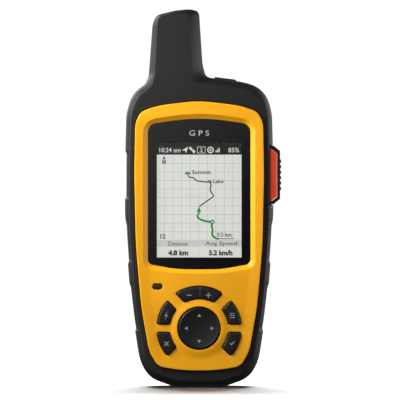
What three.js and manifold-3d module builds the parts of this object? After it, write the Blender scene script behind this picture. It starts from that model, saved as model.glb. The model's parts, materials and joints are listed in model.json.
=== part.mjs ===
// Handheld satellite GPS communicator: a yellow and black housing with a stub antenna, a display,
// a keypad with a tilting direction pad, a hinged distress-key guard and a hinged charging-port flap.
// Millimetres, +Z up. The origin is the centre of the small flat that the unit stands on.
// The display faces -Y and +X is the reader's right.

import * as THREE from 'three';
import { mergeVertices } from 'three/addons/utils/BufferGeometryUtils.js';
import Module from 'manifold-3d';

const wasm = await Module();
wasm.setup();

// ---------------------------------------------------------------- driving dimensions

const GAP = 0.3;                 // clearance between pieces that lie against each other
const PARTING_Y = 2;             // the plane where the two housing halves meet
const SPLIT = 0.15;              // each half stops this far from it
const REACH = 60;                // how far a cutting block runs past the part it cuts

const FRONT_Y = -13;             // front plane of the black housing
const BACK_Y = 16;               // rear plane of the black housing
const FRONT_WALL_Y = -6;         // the side walls are upright between these two planes
const BACK_WALL_Y = 6;
const STUB_BASE_Z = 129;         // the antenna stub leaves the body here
const STUB_TIP_Z = 164;
const STUB_TIP_FRONT_Y = -9.5;
const STUB_TIP_BACK_Y = 8;
const STUB_NECK_Z = 139;         // the rear of the stub has run down to its own depth here
const STUB_NECK_BACK_Y = 9.5;

const CAVITY_FRONT_Y = -9;
const CAVITY_BACK_Y = 13.5;
const STUB_CAVITY_FRONT_Y = -7.5;
const STUB_CAVITY_BACK_Y = 5.5;

const BEZEL_SEAT_Y = -12;
const BEZEL_BACK_Y = BEZEL_SEAT_Y - GAP;
const BEZEL_EDGE_Y = -13.2;
const BEZEL_SHOULDER_Y = -13.6;
const BEZEL_SHOULDER_INSET = 1.2;
const BEZEL_FRONT_Y = -14;
const BEZEL_FRONT_INSET = 5.2;

const LENS_FRONT_Y = -12;
const LENS_BACK_Y = -10.9;
const LENS_LEDGE_Y = -9.9;

const KEY_CENTRE_Z = 25.7;       // centre of the direction pad and of the ring of keys
const PAD_HOLE_R = 9.4;
const PAD_R = 8.9;
const PAD_BACK_Y = -10.6;
const KEY_INNER_R = 12.5;
const KEY_OUTER_R = 18.4;
const KEY_CLEARANCE = 0.35;
const KEY_FRONT_Y = -15;
const KEY_BACK_Y = -9.3;
const KEY_CHAMFER = 0.4;
const GIMBAL_BACK_Y = -8.9;
const GIMBAL_R = 4;
const PAD_RING_FOOT_R = 13.2;
const PAD_RING_TOP_R = 9.8;
const PAD_RING_FRONT_Y = -14.9;

const LED_X = -18;
const LED_Z = 43.7;
const LED_HALF_WIDTH = 1.95;
const LED_HALF_HEIGHT = 1.05;

const INSERT_X = 27.5;           // inner face of the right-hand insert that carries the distress key
const INSERT_LOW_Z = 77.8;
const INSERT_HIGH_Z = 106.5;
const INSERT_BACK_Y = 12.5;
const SOS_Y = -2.5;              // the distress key's axis runs along X at this depth
const SOS_KEY_R = 4.5;

// The guard is a trapezium seen from the front, wide at the body and narrow outside: a coloured
// core inside a black tread. Inside the body's wall the tread's ends run straight.
const GUARD_CORE = { innerX: 30.2, innerHalf: 12, outerX: 33.6, outerHalf: 9.3 };
const GUARD_TREAD = { innerX: 32.2, innerHalf: 12.65, outerX: 35, outerHalf: 10.4 };
const GUARD_MID_Z = 91.95;
const GUARD_FRONT_Y = -12.1;
const GUARD_FOOT_X = 30.6;       // inner face of the guard
const GUARD_FLOOR_X = 30.3;      // floor of the pocket it lies in
const GUARD_POCKET_BACK_Y = 9.05;
const GUARD_HINGE_X = 31.5;
const GUARD_HINGE_Y = 7.1;
const KNUCKLE_R = 1.25;
const HINGE_PIN_R = 0.5;
const HINGE_PIN_HALF = 13.6;
const TREAD_FRONT_Y = -11.6;
const TREAD_BACK_Y = 2.4;
const RIB_COUNT = 6;
const RIB_PITCH = 2.35;
const RIB_HEIGHT = 0.45;
const RIB_FOOT_HALF = 0.85;
const RIB_TOP_HALF = 0.5;

const TOP_EDGE = [[2.9, 134.3], [19, 132.3]];  // x and z of the body's sloping top right of the stub
const FLAP_LEFT_X = 6.7;         // charging-port flap, hinged at its right-hand end
const FLAP_RIGHT_X = 16;
const FLAP_HALF_THICK = 0.65;
const FLAP_HALF_DEPTH = 5.2;
const FLAP_RECESS_DEEP = 0.95;
const PORT = { x: [8, 14.2], y: [-1.6, 1.2], z: [119.5, 130] };
const PORT_WALL = 0.4;
const PORT_SOCKET_Z = 125;
const PLUG_LOW = -2.3;           // bottom and top of the flap's plug below the body's top
const PLUG_HIGH = -0.3;

const CASE_SCREWS = [[14, 11], [24.3, 62], [22.8, 115.5]];  // x and z of the right-hand three
const BOSS_R = 2.6;
const CASE_SCREW = {
  headBackY: 15.7, headThick: 1.4, headR: 1.85, socketR: 0.8, socketDeep: 0.6, shankR: 0.95, tipY: -6.5,
};
const SPINE_SCREW_Z = [72, 104];
const SPINE_BOSS_R = 3;
const SPINE_BOSS_FRONT_Y = 10.5;
const SPINE_SCREW = {
  headBackY: 22.2, headThick: 1.5, headR: 2.5, socketR: 1.1, socketDeep: 0.8, shankR: 1.2, tipY: 12,
};
const SPINE_STEP_Y = 19;         // the spine's narrow foot ends and its wide head starts here
const SPINE_BACK_Y = 22.6;
const LABEL_RECESS = 0.8;
const LABEL_THICK = 0.3;

const ANTENNA_X = -11.4;
const ANTENNA_Y = -1;
const HELIX_R = 4.1;
const HELIX_TURNS = 2.5;
const HELIX_LOW_Z = 127;
const HELIX_HIGH_Z = 155;

// Plain blocks inside the case: their ranges in x, y and z.
const LCD_PANEL = { x: [-19.9, 19.9], y: [-10.4, -8.9], z: [55, 108] };
const LCD_BACKLIGHT = { x: [-20.4, 20.4], y: [-8.5, -6.9], z: [53.8, 108.4] };
const SHIELD_CAN_LEFT = { x: [-18, -2], y: [-1.9, 0.6], z: [84, 110] };
const SHIELD_CAN_RIGHT = { x: [2, 18], y: [-1.9, 0.6], z: [84, 110] };
const SATELLITE_MODEM = { x: [-17, 17], y: [1.1, 4.6], z: [76, 108] };
const BATTERY_PLUG = { x: [-4, 4], y: [-1.9, 0.9], z: [70, 74] };
const GPS_ANTENNA = { x: [-1, 14], y: [-8.4, -5.2], z: [109.4, 124.4] };
const SOS_SWITCH = { x: [23.2, 26.3], y: [-5, -1], z: [88.95, 94.95] };

// ---------------------------------------------------------------- outlines
// Each corner is x, z and the radius it is rounded to. Outlines run up the reader's right side,
// over the top and down the left. The widest, front and rear outlines match corner by corner.

const mirrored = (corners) => corners.map(([x, z, radius]) => [-x, z, radius]).reverse();

const WIDEST_SIDE = [
  [10.5, 0, 22], [21.6, 4, 11.5], [25.7, 11, 20], [29.6, 36.5, 220], [32.2, 70, 260],
  [32.15, 97, 260], [31.6, 118.6, 24],
];
const WIDEST = [
  ...WIDEST_SIDE, [28.6, 129.2, 12], [19, 132.3, 36],
  [2.9, 134.3, 3], [1.45, 140.2, 14], [-0.05, 162.8, 2.4], [-4, 163.9, 12],
  [-10.6, 163.2, 16], [-18.4, 161.3, 3.6], [-20.2, 158, 9], [-21.9, 135, 6],
  [-23.4, 131.2, 6], [-28.9, 127.6, 12], ...mirrored(WIDEST_SIDE),
];

const FRONT_SIDE = [
  [9.5, 3.4, 18], [18.8, 6.6, 10], [22.9, 13, 18], [27.1, 37, 200], [29.65, 70, 240],
  [29.6, 97, 240], [29.1, 117.6, 20],
];
const FRONT = [
  ...FRONT_SIDE, [26.2, 125.9, 10], [17, 128.9, 30],
  [-1.9, 130.3, 3], [-2.9, 139, 14], [-4.3, 161.2, 1.2], [-6.3, 161.9, 5],
  [-11, 161.7, 12], [-17.3, 160.3, 1.6], [-18, 157.6, 6], [-19, 136, 6],
  [-20.6, 129.6, 6], [-26.3, 125, 9], ...mirrored(FRONT_SIDE),
];

const BACK_SIDE = [
  [9, 5, 16], [17.5, 8.6, 9], [21.3, 15, 16], [24.9, 38, 180], [27.2, 70, 220],
  [27.2, 97, 220], [26.8, 116.2, 18],
];
const BACK = [
  ...BACK_SIDE, [23.8, 123.4, 9], [15.5, 126.4, 26],
  [-1, 128, 3], [-2.4, 140, 14], [-3.6, 160.6, 1], [-5.8, 161.3, 5],
  [-11, 161.2, 12], [-16.9, 159.8, 1.5], [-17.5, 157.2, 5], [-18.4, 140, 6],
  [-19.4, 128.4, 6], [-24.4, 122.6, 8], ...mirrored(BACK_SIDE),
];
const BODY_CORNERS = [9, 17];    // the corners right and left where the stub meets the body
const NECK_CORNERS = [10, 16];   // and where the stub's neck ends

const CAVITY_SIDE = [
  [8.5, 7.2, 16], [17, 9.5, 8], [21.6, 15.5, 16], [25.6, 37, 180], [28.2, 70, 220],
  [28.2, 97, 220], [27.6, 116.5, 18], [24, 124.2, 9], [15, 127.6, 26],
];
const CAVITY = [...CAVITY_SIDE, ...mirrored(CAVITY_SIDE)];
const STUB_CAVITY = [[-5.8, 120, 1], [-6.8, 159, 2], [-16, 158, 2], [-17, 120, 1]];

const BEZEL_SIDE = [
  [8, 7.45, 70], [17.9, 9.3, 5.5], [21.6, 15.9, 16], [24.9, 34.5, 140], [27.3, 61, 220],
  [27.95, 92, 260], [27.6, 114.3, 12], [25.2, 119.2, 5.5], [18, 121.8, 36],
];
const BEZEL = [...BEZEL_SIDE, [0, 124.1, 60], ...mirrored(BEZEL_SIDE)];

const WINDOW_SIDE = [[9, 51.1, 60], [22.2, 53.4, 2.8], [22.2, 113.9, 4.2]];
const WINDOW = [...WINDOW_SIDE, [0, 117, 80], ...mirrored(WINDOW_SIDE)];
const LIP_SIDE = [[9.5, 49.7, 62], [24, 51.9, 4], [24, 115.3, 6]];
const WINDOW_LIP = [...LIP_SIDE, [0, 119, 82], ...mirrored(LIP_SIDE)];

const MAIN_BOARD_SIDE = [[18.6, 15, 3], [20.9, 40, 60], [20.9, 112, 3]];
const MAIN_BOARD = [...MAIN_BOARD_SIDE, ...mirrored(MAIN_BOARD_SIDE)];
const KEYPAD_SIDE = [[14.5, 14.9, 3], [20.4, 21, 6], [21, 47.5, 3]];
const KEYPAD = [...KEYPAD_SIDE, ...mirrored(KEYPAD_SIDE)];

const rectangle = (x0, z0, x1, z1, radius) => [
  [x1, z0, radius], [x1, z1, radius], [x0, z1, radius], [x0, z0, radius],
];
const SCREEN_HOLE = rectangle(-20.6, 54.5, 20.6, 108.5, 1.5);
const CHASSIS = rectangle(-20.6, 52.2, 20.6, 112, 2);
const BATTERY = rectangle(-18, 15.5, 18, 67.5, 3.5);
const LABEL = rectangle(-14, 22, 14, 46, 1.5);
const SPINE_FOOT = rectangle(-6.5, 66, 6.5, 110, 3);
const SPINE_HEAD = rectangle(-9.5, 63, 9.5, 113, 5);

// ---------------------------------------------------------------- geometry tools

const { clamp, lerp, mapLinear, smoothstep } = THREE.MathUtils;

// The points of an outline, with every corner rounded by the same number of steps.
function rounded(corners, steps = 3) {
  const points = [];
  corners.forEach(([x, z, radius], i) => {
    const [beforeX, beforeZ] = corners[(i + corners.length - 1) % corners.length];
    const [afterX, afterZ] = corners[(i + 1) % corners.length];
    const here = new THREE.Vector2(x, z);
    const back = new THREE.Vector2(beforeX - x, beforeZ - z).normalize();
    const ahead = new THREE.Vector2(afterX - x, afterZ - z).normalize();
    const half = Math.acos(clamp(back.dot(ahead), -1, 1)) / 2;
    const run = radius / Math.tan(half);
    const middle = back.clone().add(ahead).normalize();
    const centre = here.clone().addScaledVector(middle, radius / Math.sin(half));
    const start = here.clone().addScaledVector(back, run).sub(centre);
    const end = here.clone().addScaledVector(ahead, run).sub(centre);
    const turn = Math.atan2(start.cross(end), start.dot(end));
    for (let k = 0; k <= steps; k += 1) {
      const spoke = start.clone().rotateAround(new THREE.Vector2(), (turn * k) / steps);
      points.push(spoke.add(centre));
    }
  });
  return points;
}

// The same outline moved outwards by a distance (inwards when negative).
function grown(corners, distance) {
  return corners.map(([x, z, radius], i) => {
    const [beforeX, beforeZ] = corners[(i + corners.length - 1) % corners.length];
    const [afterX, afterZ] = corners[(i + 1) % corners.length];
    const inNormal = new THREE.Vector2(z - beforeZ, beforeX - x).normalize();
    const outNormal = new THREE.Vector2(afterZ - z, x - afterX).normalize();
    const scale = distance / (1 + inNormal.dot(outNormal));
    const convex = (x - beforeX) * (afterZ - z) - (z - beforeZ) * (afterX - x) > 0;
    return [
      x + (inNormal.x + outNormal.x) * scale,
      z + (inNormal.y + outNormal.y) * scale,
      Math.max(0.2, radius + (convex ? distance : -distance)),
    ];
  });
}

const ringAt = (points, y) => points.map((point) => new THREE.Vector3(point.x, y, point.y));

// A closed body through matching rings, the first at the rear and the last at the front. Cap
// loops are lists of point numbers, so that a bent cap can be closed in flat stretches.
function loft(rings, capLoops) {
  const count = rings[0].length;
  const loops = capLoops ?? [[...Array(count).keys()]];
  const positions = rings.flat().flatMap((point) => [point.x, point.y, point.z]);
  const faces = [];
  for (let ring = 0; ring < rings.length - 1; ring += 1) {
    for (let i = 0; i < count; i += 1) {
      const a = ring * count + i;
      const b = ring * count + ((i + 1) % count);
      faces.push(a, b, b + count, a, b + count, a + count);
    }
  }
  const last = (rings.length - 1) * count;
  loops.forEach((loop) => {
    const cap = (base, order) => {
      const flat = loop.map((i) => new THREE.Vector2(rings[base / count][i].x, rings[base / count][i].z));
      THREE.ShapeUtils.triangulateShape(flat, []).forEach((face) => {
        order.forEach((k) => faces.push(base + loop[face[k]]));
      });
    };
    cap(0, [2, 1, 0]);
    cap(last, [0, 1, 2]);
  });
  const geometry = new THREE.BufferGeometry();
  geometry.setAttribute('position', new THREE.Float32BufferAttribute(positions, 3));
  geometry.setIndex(faces);
  return geometry;
}

// A solid for joining and cutting, from any closed geometry.
function solid(geometry) {
  const bare = geometry.clone();
  bare.deleteAttribute('normal');
  bare.deleteAttribute('uv');
  const merged = mergeVertices(bare, 1e-4);
  const mesh = new wasm.Mesh({
    numProp: 3,
    vertProperties: merged.attributes.position.array,
    triVerts: new Uint32Array(merged.index.array),
  });
  return new wasm.Manifold(mesh);
}

function geometryOf(shape) {
  const mesh = shape.getMesh();
  const geometry = new THREE.BufferGeometry();
  geometry.setAttribute('position', new THREE.Float32BufferAttribute(mesh.vertProperties, 3));
  geometry.setIndex([...mesh.triVerts]);
  return geometry;
}

const union = (shapes) => shapes.reduce((sum, shape) => sum.add(shape));
const cut = (shape, tools) => tools.reduce((left, tool) => left.subtract(tool), shape);

// A straight prism of an outline between two Y planes.
const slabOf = (points, backY, frontY) => solid(loft([ringAt(points, backY), ringAt(points, frontY)]));
const slab = (corners, backY, frontY, steps = 3) => slabOf(rounded(corners, steps), backY, frontY);

// A box between two opposite corners.
function block(x0, x1, y0, y1, z0, z1) {
  const box = new THREE.BoxGeometry(x1 - x0, y1 - y0, z1 - z0);
  box.translate((x0 + x1) / 2, (y0 + y1) / 2, (z0 + z1) / 2);
  return solid(box);
}

const blockOf = ({ x, y, z }) => block(...x, ...y, ...z);

// A round piece on an axis along Y, with its radius at the rear and at the front.
function rod(x, z, backY, frontY, backR, frontR = backR, sides = 20) {
  const cylinder = new THREE.CylinderGeometry(backR, frontR, backY - frontY, sides);
  cylinder.translate(x, (backY + frontY) / 2, z);
  return solid(cylinder);
}

// A round piece on an upright axis.
function post(x, y, lowZ, highZ, radius, sides = 20) {
  const cylinder = new THREE.CylinderGeometry(radius, radius, highZ - lowZ, sides);
  cylinder.rotateX(Math.PI / 2);
  cylinder.translate(x, y, (lowZ + highZ) / 2);
  return solid(cylinder);
}

// A round piece on an axis along X.
function plunger(y, z, lowX, highX, radius, sides = 24) {
  const cylinder = new THREE.CylinderGeometry(radius, radius, highX - lowX, sides);
  cylinder.rotateZ(-Math.PI / 2);
  cylinder.translate((lowX + highX) / 2, y, z);
  return solid(cylinder);
}

// A prism of a section in the XY plane, standing between two heights.
function pillar(sectionXY, lowZ, highZ) {
  const shape = new THREE.Shape(sectionXY.map(([x, y]) => new THREE.Vector2(x, y)));
  const body = new THREE.ExtrudeGeometry(shape, { depth: highZ - lowZ, bevelEnabled: false });
  body.translate(0, 0, lowZ);
  return solid(body);
}

// A prism of a section in the YZ plane, between two x values.
function ribbon(sectionYZ, lowX, highX) {
  const shape = new THREE.Shape(sectionYZ.map(([y, z]) => new THREE.Vector2(y, z)));
  const body = new THREE.ExtrudeGeometry(shape, { depth: highX - lowX, bevelEnabled: false });
  body.rotateX(Math.PI / 2);
  body.rotateZ(Math.PI / 2);
  body.translate(lowX, 0, 0);
  return solid(body);
}

// A socket screw on an axis along Y, its head at the rear.
function screw(x, z, { headBackY, headThick, headR, socketR, socketDeep, shankR, tipY }) {
  const headFrontY = headBackY - headThick;
  return rod(x, z, headBackY, headFrontY, headR)
    .add(rod(x, z, headFrontY + GAP, tipY, shankR, shankR, 12))
    .subtract(rod(x, z, REACH, headBackY - socketDeep, socketR, socketR, 6));
}

// The clearance hole for its shank and the counterbore for its head.
const shankHole = (x, z, { shankR }, backY, frontY) => (
  rod(x, z, backY, frontY, shankR + GAP, shankR + GAP, 16)
);
const headHole = (x, z, { headBackY, headThick, headR }) => (
  rod(x, z, REACH, headBackY - headThick - GAP, headR + GAP, headR + GAP, 16)
);

// A wire of round section along a smooth curve.
function wire(points, radius, steps, sides) {
  const section = new THREE.Shape();
  section.absarc(0, 0, radius, 0, Math.PI * 2, false);
  const path = new THREE.CatmullRomCurve3(points.map((point) => new THREE.Vector3(...point)));
  return new THREE.ExtrudeGeometry(section, {
    steps,
    curveSegments: sides,
    extrudePath: path,
    bevelEnabled: false,
  });
}

// ---------------------------------------------------------------- the assembly

const unit = new THREE.Group();

const finish = (color, roughness, metalness = 0) => (
  new THREE.MeshStandardMaterial({ color, roughness, metalness })
);
const BLACK_RUBBER = finish(0x323234, 0.75);
const YELLOW_PLASTIC = finish(0xf5b125, 0.5);
const KEY_RUBBER = finish(0x23242a, 0.55);
const RED_PLASTIC = finish(0xfa4b28, 0.5);
const DARK_GLASS = finish(0x101114, 0.08);
const SCREEN = finish(0xdee2db, 0.3);
const SMOKED_PLASTIC = finish(0x3a2c1c, 0.25);
const STEEL = finish(0xb0b2b5, 0.35, 1);
const BRASS = finish(0xb8953f, 0.4, 1);
const BOARD = finish(0x1f5c38, 0.5);
const FILM = finish(0xa8672a, 0.4);
const BATTERY_WRAP = finish(0x40485a, 0.5);
const PALE_PLASTIC = finish(0xd8d8d2, 0.5);
const CERAMIC = finish(0xcdbb96, 0.6);

function piece(name, shape, material) {
  const geometry = shape.isBufferGeometry ? shape : geometryOf(shape);
  const mesh = new THREE.Mesh(geometry, material);
  mesh.name = name;
  unit.add(mesh);
}

// ---------------------------------------------------------------- housing halves

const frontDepth = (z) => (
  z < STUB_BASE_Z ? FRONT_Y : mapLinear(z, STUB_BASE_Z, STUB_TIP_Z, FRONT_Y, STUB_TIP_FRONT_Y)
);

const backDepth = (z) => {
  if (z < STUB_NECK_Z) {
    return lerp(BACK_Y, STUB_NECK_BACK_Y, smoothstep(z, STUB_BASE_Z, STUB_NECK_Z));
  }
  return mapLinear(z, STUB_NECK_Z, STUB_TIP_Z, STUB_NECK_BACK_Y, STUB_TIP_BACK_Y);
};

const CORNER_STEPS = 3;
const ROUND_STEPS = 3;
const widest = rounded(WIDEST, CORNER_STEPS);
// The faces are closed in three flat stretches: the body, the stub's neck and the stub.
const capLoops = (() => {
  const lastOf = (corner) => (corner + 1) * (CORNER_STEPS + 1) - 1;
  const firstOf = (corner) => corner * (CORNER_STEPS + 1);
  const [bodyRight, bodyLeft] = [lastOf(BODY_CORNERS[0]), firstOf(BODY_CORNERS[1])];
  const [neckRight, neckLeft] = [lastOf(NECK_CORNERS[0]), firstOf(NECK_CORNERS[1])];
  const every = [...widest.keys()];
  return [
    every.filter((i) => i <= bodyRight || i >= bodyLeft),
    every.filter((i) => (i >= bodyRight && i <= neckRight) || (i >= neckLeft && i <= bodyLeft)),
    every.filter((i) => i >= neckRight && i <= neckLeft),
  ];
})();

// The rings between the upright wall and a face, on a quarter ellipse at every point.
function shoulderRings(face, wallY, depthAt) {
  const rings = [];
  for (let k = 0; k <= ROUND_STEPS; k += 1) {
    const angle = (k / ROUND_STEPS) * (Math.PI / 2);
    rings.push(widest.map((outer, i) => {
      const x = lerp(face[i].x, outer.x, Math.cos(angle));
      const z = lerp(face[i].y, outer.y, Math.cos(angle));
      const y = wallY + (depthAt(face[i].y) - wallY) * Math.sin(angle);
      return new THREE.Vector3(x, y, z);
    }));
  }
  return rings;
}

const frontShoulder = shoulderRings(rounded(FRONT, CORNER_STEPS), FRONT_WALL_Y, frontDepth);
const backShoulder = shoulderRings(rounded(BACK, CORNER_STEPS), BACK_WALL_Y, backDepth).reverse();
const frontBlank = solid(loft([ringAt(widest, PARTING_Y - SPLIT), ...frontShoulder], capLoops));
const backBlank = solid(loft([...backShoulder, ringAt(widest, PARTING_Y + SPLIT)], capLoops));
const wholeBlank = solid(loft([...backShoulder, ...frontShoulder], capLoops));

const cavity = slab(CAVITY, CAVITY_BACK_Y, CAVITY_FRONT_Y, 1)
  .add(slab(STUB_CAVITY, STUB_CAVITY_BACK_Y, STUB_CAVITY_FRONT_Y, 1));

// Screws come in left and right pairs.
const screwPlaces = CASE_SCREWS.flatMap(([x, z]) => [[-x, z], [x, z]]);
const boss = ([x, z]) => rod(x, z, CAVITY_BACK_Y + 1, CAVITY_FRONT_Y - 1, BOSS_R, BOSS_R, 10);
const spineBoss = (z) => rod(0, z, CAVITY_BACK_Y + 1, SPINE_BOSS_FRONT_Y, SPINE_BOSS_R, SPINE_BOSS_R, 12);

const onFrontSide = (shape) => shape.subtract(
  block(-REACH, REACH, PARTING_Y - SPLIT, REACH, -REACH, 4 * REACH),
);
const onBackSide = (shape) => shape.subtract(
  block(-REACH, REACH, -REACH, PARTING_Y + SPLIT, -REACH, 4 * REACH),
);

// ---------------------------------------------------------------- keypad outlines

const DEGREE = Math.PI / 180;

// The ring segment between two spokes, each side moved off its spoke by a distance.
function ringSegment({ from, fromOffset, to, toOffset }, inset = 0, steps = 5) {
  const inner = KEY_INNER_R + inset;
  const outer = KEY_OUTER_R - inset;
  const arc = (radius) => {
    const start = from * DEGREE + Math.asin((fromOffset + inset) / radius);
    const end = to * DEGREE - Math.asin((toOffset + inset) / radius);
    return Array.from({ length: steps + 1 }, (_, k) => {
      const angle = lerp(start, end, k / steps);
      return new THREE.Vector2(radius * Math.cos(angle), KEY_CENTRE_Z + radius * Math.sin(angle));
    });
  };
  return [...arc(outer), ...arc(inner).reverse()];
}

const KEYS = {
  key_menu: { from: 0, fromOffset: 1.5, to: 45, toOffset: 1 },
  key_power: { from: 135, fromOffset: 1, to: 180, toOffset: 1.5 },
  key_back: { from: 180, fromOffset: 1.5, to: 225, toOffset: 1 },
  key_enter: { from: 315, fromOffset: 1, to: 360, toOffset: 1.5 },
  zoom_rocker: { from: 45, fromOffset: 3.26, to: 135, toOffset: 3.26 },
};

const ledOutline = (clearance) => {
  const width = LED_HALF_WIDTH + clearance;
  const height = LED_HALF_HEIGHT + clearance;
  return rectangle(LED_X - width, LED_Z - height, LED_X + width, LED_Z + height, height - 0.02);
};

const keypadHoles = (backY, frontY) => [
  ...Object.values(KEYS).map((key) => slabOf(ringSegment(key), backY, frontY)),
  rod(0, KEY_CENTRE_Z, backY, frontY, PAD_HOLE_R, PAD_HOLE_R, 48),
  slab(ledOutline(GAP), backY, frontY),
];

// ---------------------------------------------------------------- right-hand insert and its guard

// A trapezium's corners, with the outer side and both sloping ends moved outwards by a clearance
// and the inner side moved inwards along the slopes.
function trapezium({ innerX, innerHalf, outerX, outerHalf }, clearance = 0, innerReach = 0) {
  const slope = (innerHalf - outerHalf) / (outerX - innerX);
  const lift = clearance * Math.hypot(1, slope);
  const inner = innerHalf + lift + innerReach * slope;
  const outer = outerHalf + lift - clearance * slope;
  return [
    [innerX - innerReach, GUARD_MID_Z - inner], [outerX + clearance, GUARD_MID_Z - outer],
    [outerX + clearance, GUARD_MID_Z + outer], [innerX - innerReach, GUARD_MID_Z + inner],
  ];
}
const points2 = (pairs) => pairs.map(([x, z]) => new THREE.Vector2(x, z));
const insertBox = (clearance) => block(
  INSERT_X - clearance, REACH, -REACH, INSERT_BACK_Y + clearance,
  INSERT_LOW_Z - clearance, INSERT_HIGH_Z + clearance,
);

const POCKET_HALF = GUARD_TREAD.innerHalf + GAP;
const guardPocket = block(
  GUARD_FLOOR_X, REACH, -REACH, GUARD_POCKET_BACK_Y, GUARD_MID_Z - POCKET_HALF, GUARD_MID_Z + POCKET_HALF,
);
const hingeRod = (radius, half) => (
  post(GUARD_HINGE_X, GUARD_HINGE_Y, GUARD_MID_Z - half, GUARD_MID_Z + half, radius, 16)
);
const bezelSeat = slab(grown(BEZEL, GAP), BEZEL_SEAT_Y, -REACH);
piece('sos_housing', cut(wholeBlank.intersect(insertBox(0)), [
  bezelSeat,
  guardPocket,
  plunger(SOS_Y, GUARD_MID_Z, INSERT_X - 1, GUARD_FLOOR_X + 1, SOS_KEY_R + GAP),
  hingeRod(KNUCKLE_R + GAP, POCKET_HALF),
  hingeRod(HINGE_PIN_R + GAP, HINGE_PIN_HALF + GAP),
]), BLACK_RUBBER);

// The guard seen along its hinge: a lid whose rear end runs into a round knuckle.
const knuckle = [20, 60, 100, 140, 180, 216].map((degrees) => [
  GUARD_HINGE_X + KNUCKLE_R * Math.cos(degrees * DEGREE),
  GUARD_HINGE_Y + KNUCKLE_R * Math.sin(degrees * DEGREE),
]);
const guardBody = pillar([
  [GUARD_FOOT_X, GUARD_FRONT_Y], [GUARD_CORE.outerX + 1, GUARD_FRONT_Y],
  [GUARD_CORE.outerX + 1, GUARD_HINGE_Y - 2.1], [GUARD_CORE.outerX, GUARD_HINGE_Y - 2.1], ...knuckle,
], GUARD_MID_Z - POCKET_HALF, GUARD_MID_Z + POCKET_HALF);
const guardCore = slabOf(points2(trapezium(GUARD_CORE)), REACH, -REACH)
  .intersect(guardBody)
  .subtract(hingeRod(HINGE_PIN_R + GAP, POCKET_HALF));
piece('sos_guard_core', guardCore, RED_PLASTIC);

// The tread is a ribbed rubber jacket round the outside and the two ends of the core.
function treadOutline() {
  const { innerX, innerHalf, outerX, outerHalf } = GUARD_TREAD;
  const ribs = [];
  for (let rib = 0; rib < RIB_COUNT; rib += 1) {
    const middle = (rib - (RIB_COUNT - 1) / 2) * RIB_PITCH;
    ribs.push([outerX, middle - RIB_FOOT_HALF], [outerX + RIB_HEIGHT, middle - RIB_TOP_HALF]);
    ribs.push([outerX + RIB_HEIGHT, middle + RIB_TOP_HALF], [outerX, middle + RIB_FOOT_HALF]);
  }
  return points2([
    [GUARD_FOOT_X, -innerHalf], [innerX, -innerHalf], [outerX, -outerHalf], ...ribs,
    [outerX, outerHalf], [innerX, innerHalf], [GUARD_FOOT_X, innerHalf],
  ].map(([x, z]) => [x, GUARD_MID_Z + z]));
}
const coreClearance = slabOf(points2(trapezium(GUARD_CORE, GAP, 1)), REACH, -REACH);
const guardTread = slabOf(treadOutline(), TREAD_BACK_Y, TREAD_FRONT_Y).subtract(coreClearance);
piece('sos_guard_tread', guardTread, KEY_RUBBER);

piece('sos_hinge_pin', hingeRod(HINGE_PIN_R, HINGE_PIN_HALF), STEEL);
piece('sos_key', plunger(SOS_Y, GUARD_MID_Z, INSERT_X + GAP, GUARD_FLOOR_X - 0.2, SOS_KEY_R), RED_PLASTIC);
piece('sos_switch', blockOf(SOS_SWITCH), STEEL);

// ---------------------------------------------------------------- charging port and its flap

const [TOP_LEFT, TOP_RIGHT] = TOP_EDGE;
const topAt = (x) => mapLinear(x, TOP_LEFT[0], TOP_RIGHT[0], TOP_LEFT[1], TOP_RIGHT[1]);
const onTop = (x, lift, radius) => [x, topAt(x) + lift, radius];

const flapRecess = slab([
  onTop(FLAP_RIGHT_X + GAP, -FLAP_RECESS_DEEP, 0.5), onTop(FLAP_RIGHT_X + GAP, 4, 0.5),
  onTop(FLAP_LEFT_X - GAP, 4, 0.2), onTop(FLAP_LEFT_X - GAP, -FLAP_RECESS_DEEP, 0.2),
], FLAP_HALF_DEPTH + GAP, -FLAP_HALF_DEPTH - GAP);
const [PORT_LEFT_X, PORT_RIGHT_X] = PORT.x;
const [PORT_FRONT_Y, PORT_BACK_Y] = PORT.y;
const portHole = block(
  PORT_LEFT_X - GAP, PORT_RIGHT_X + GAP, PORT_FRONT_Y - GAP, PORT_BACK_Y + GAP, PORT.z[0], REACH * 4,
);

const flapPlate = slab([
  onTop(FLAP_RIGHT_X, -FLAP_HALF_THICK, FLAP_HALF_THICK - 0.03),
  onTop(FLAP_RIGHT_X, FLAP_HALF_THICK, FLAP_HALF_THICK - 0.03),
  onTop(FLAP_LEFT_X, FLAP_HALF_THICK, 0.25), onTop(FLAP_LEFT_X, -FLAP_HALF_THICK, 0.2),
], FLAP_HALF_DEPTH, -FLAP_HALF_DEPTH);
const flapPlug = slab([
  onTop(PORT_RIGHT_X, PLUG_LOW, 0.3), onTop(PORT_RIGHT_X, PLUG_HIGH, 0.2),
  onTop(PORT_LEFT_X + 0.2, PLUG_HIGH, 0.2), onTop(PORT_LEFT_X + 0.2, PLUG_LOW, 0.3),
], PORT_BACK_Y, PORT_FRONT_Y);
piece('usb_flap', flapPlate.add(flapPlug), BLACK_RUBBER);
piece('usb_port', blockOf(PORT).subtract(block(
  PORT_LEFT_X + PORT_WALL, PORT_RIGHT_X - PORT_WALL, PORT_FRONT_Y + PORT_WALL, PORT_BACK_Y - PORT_WALL,
  PORT_SOCKET_Z, REACH * 4,
)), STEEL);

// ---------------------------------------------------------------- front half

const LENS = grown(WINDOW, 1.2);

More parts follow.
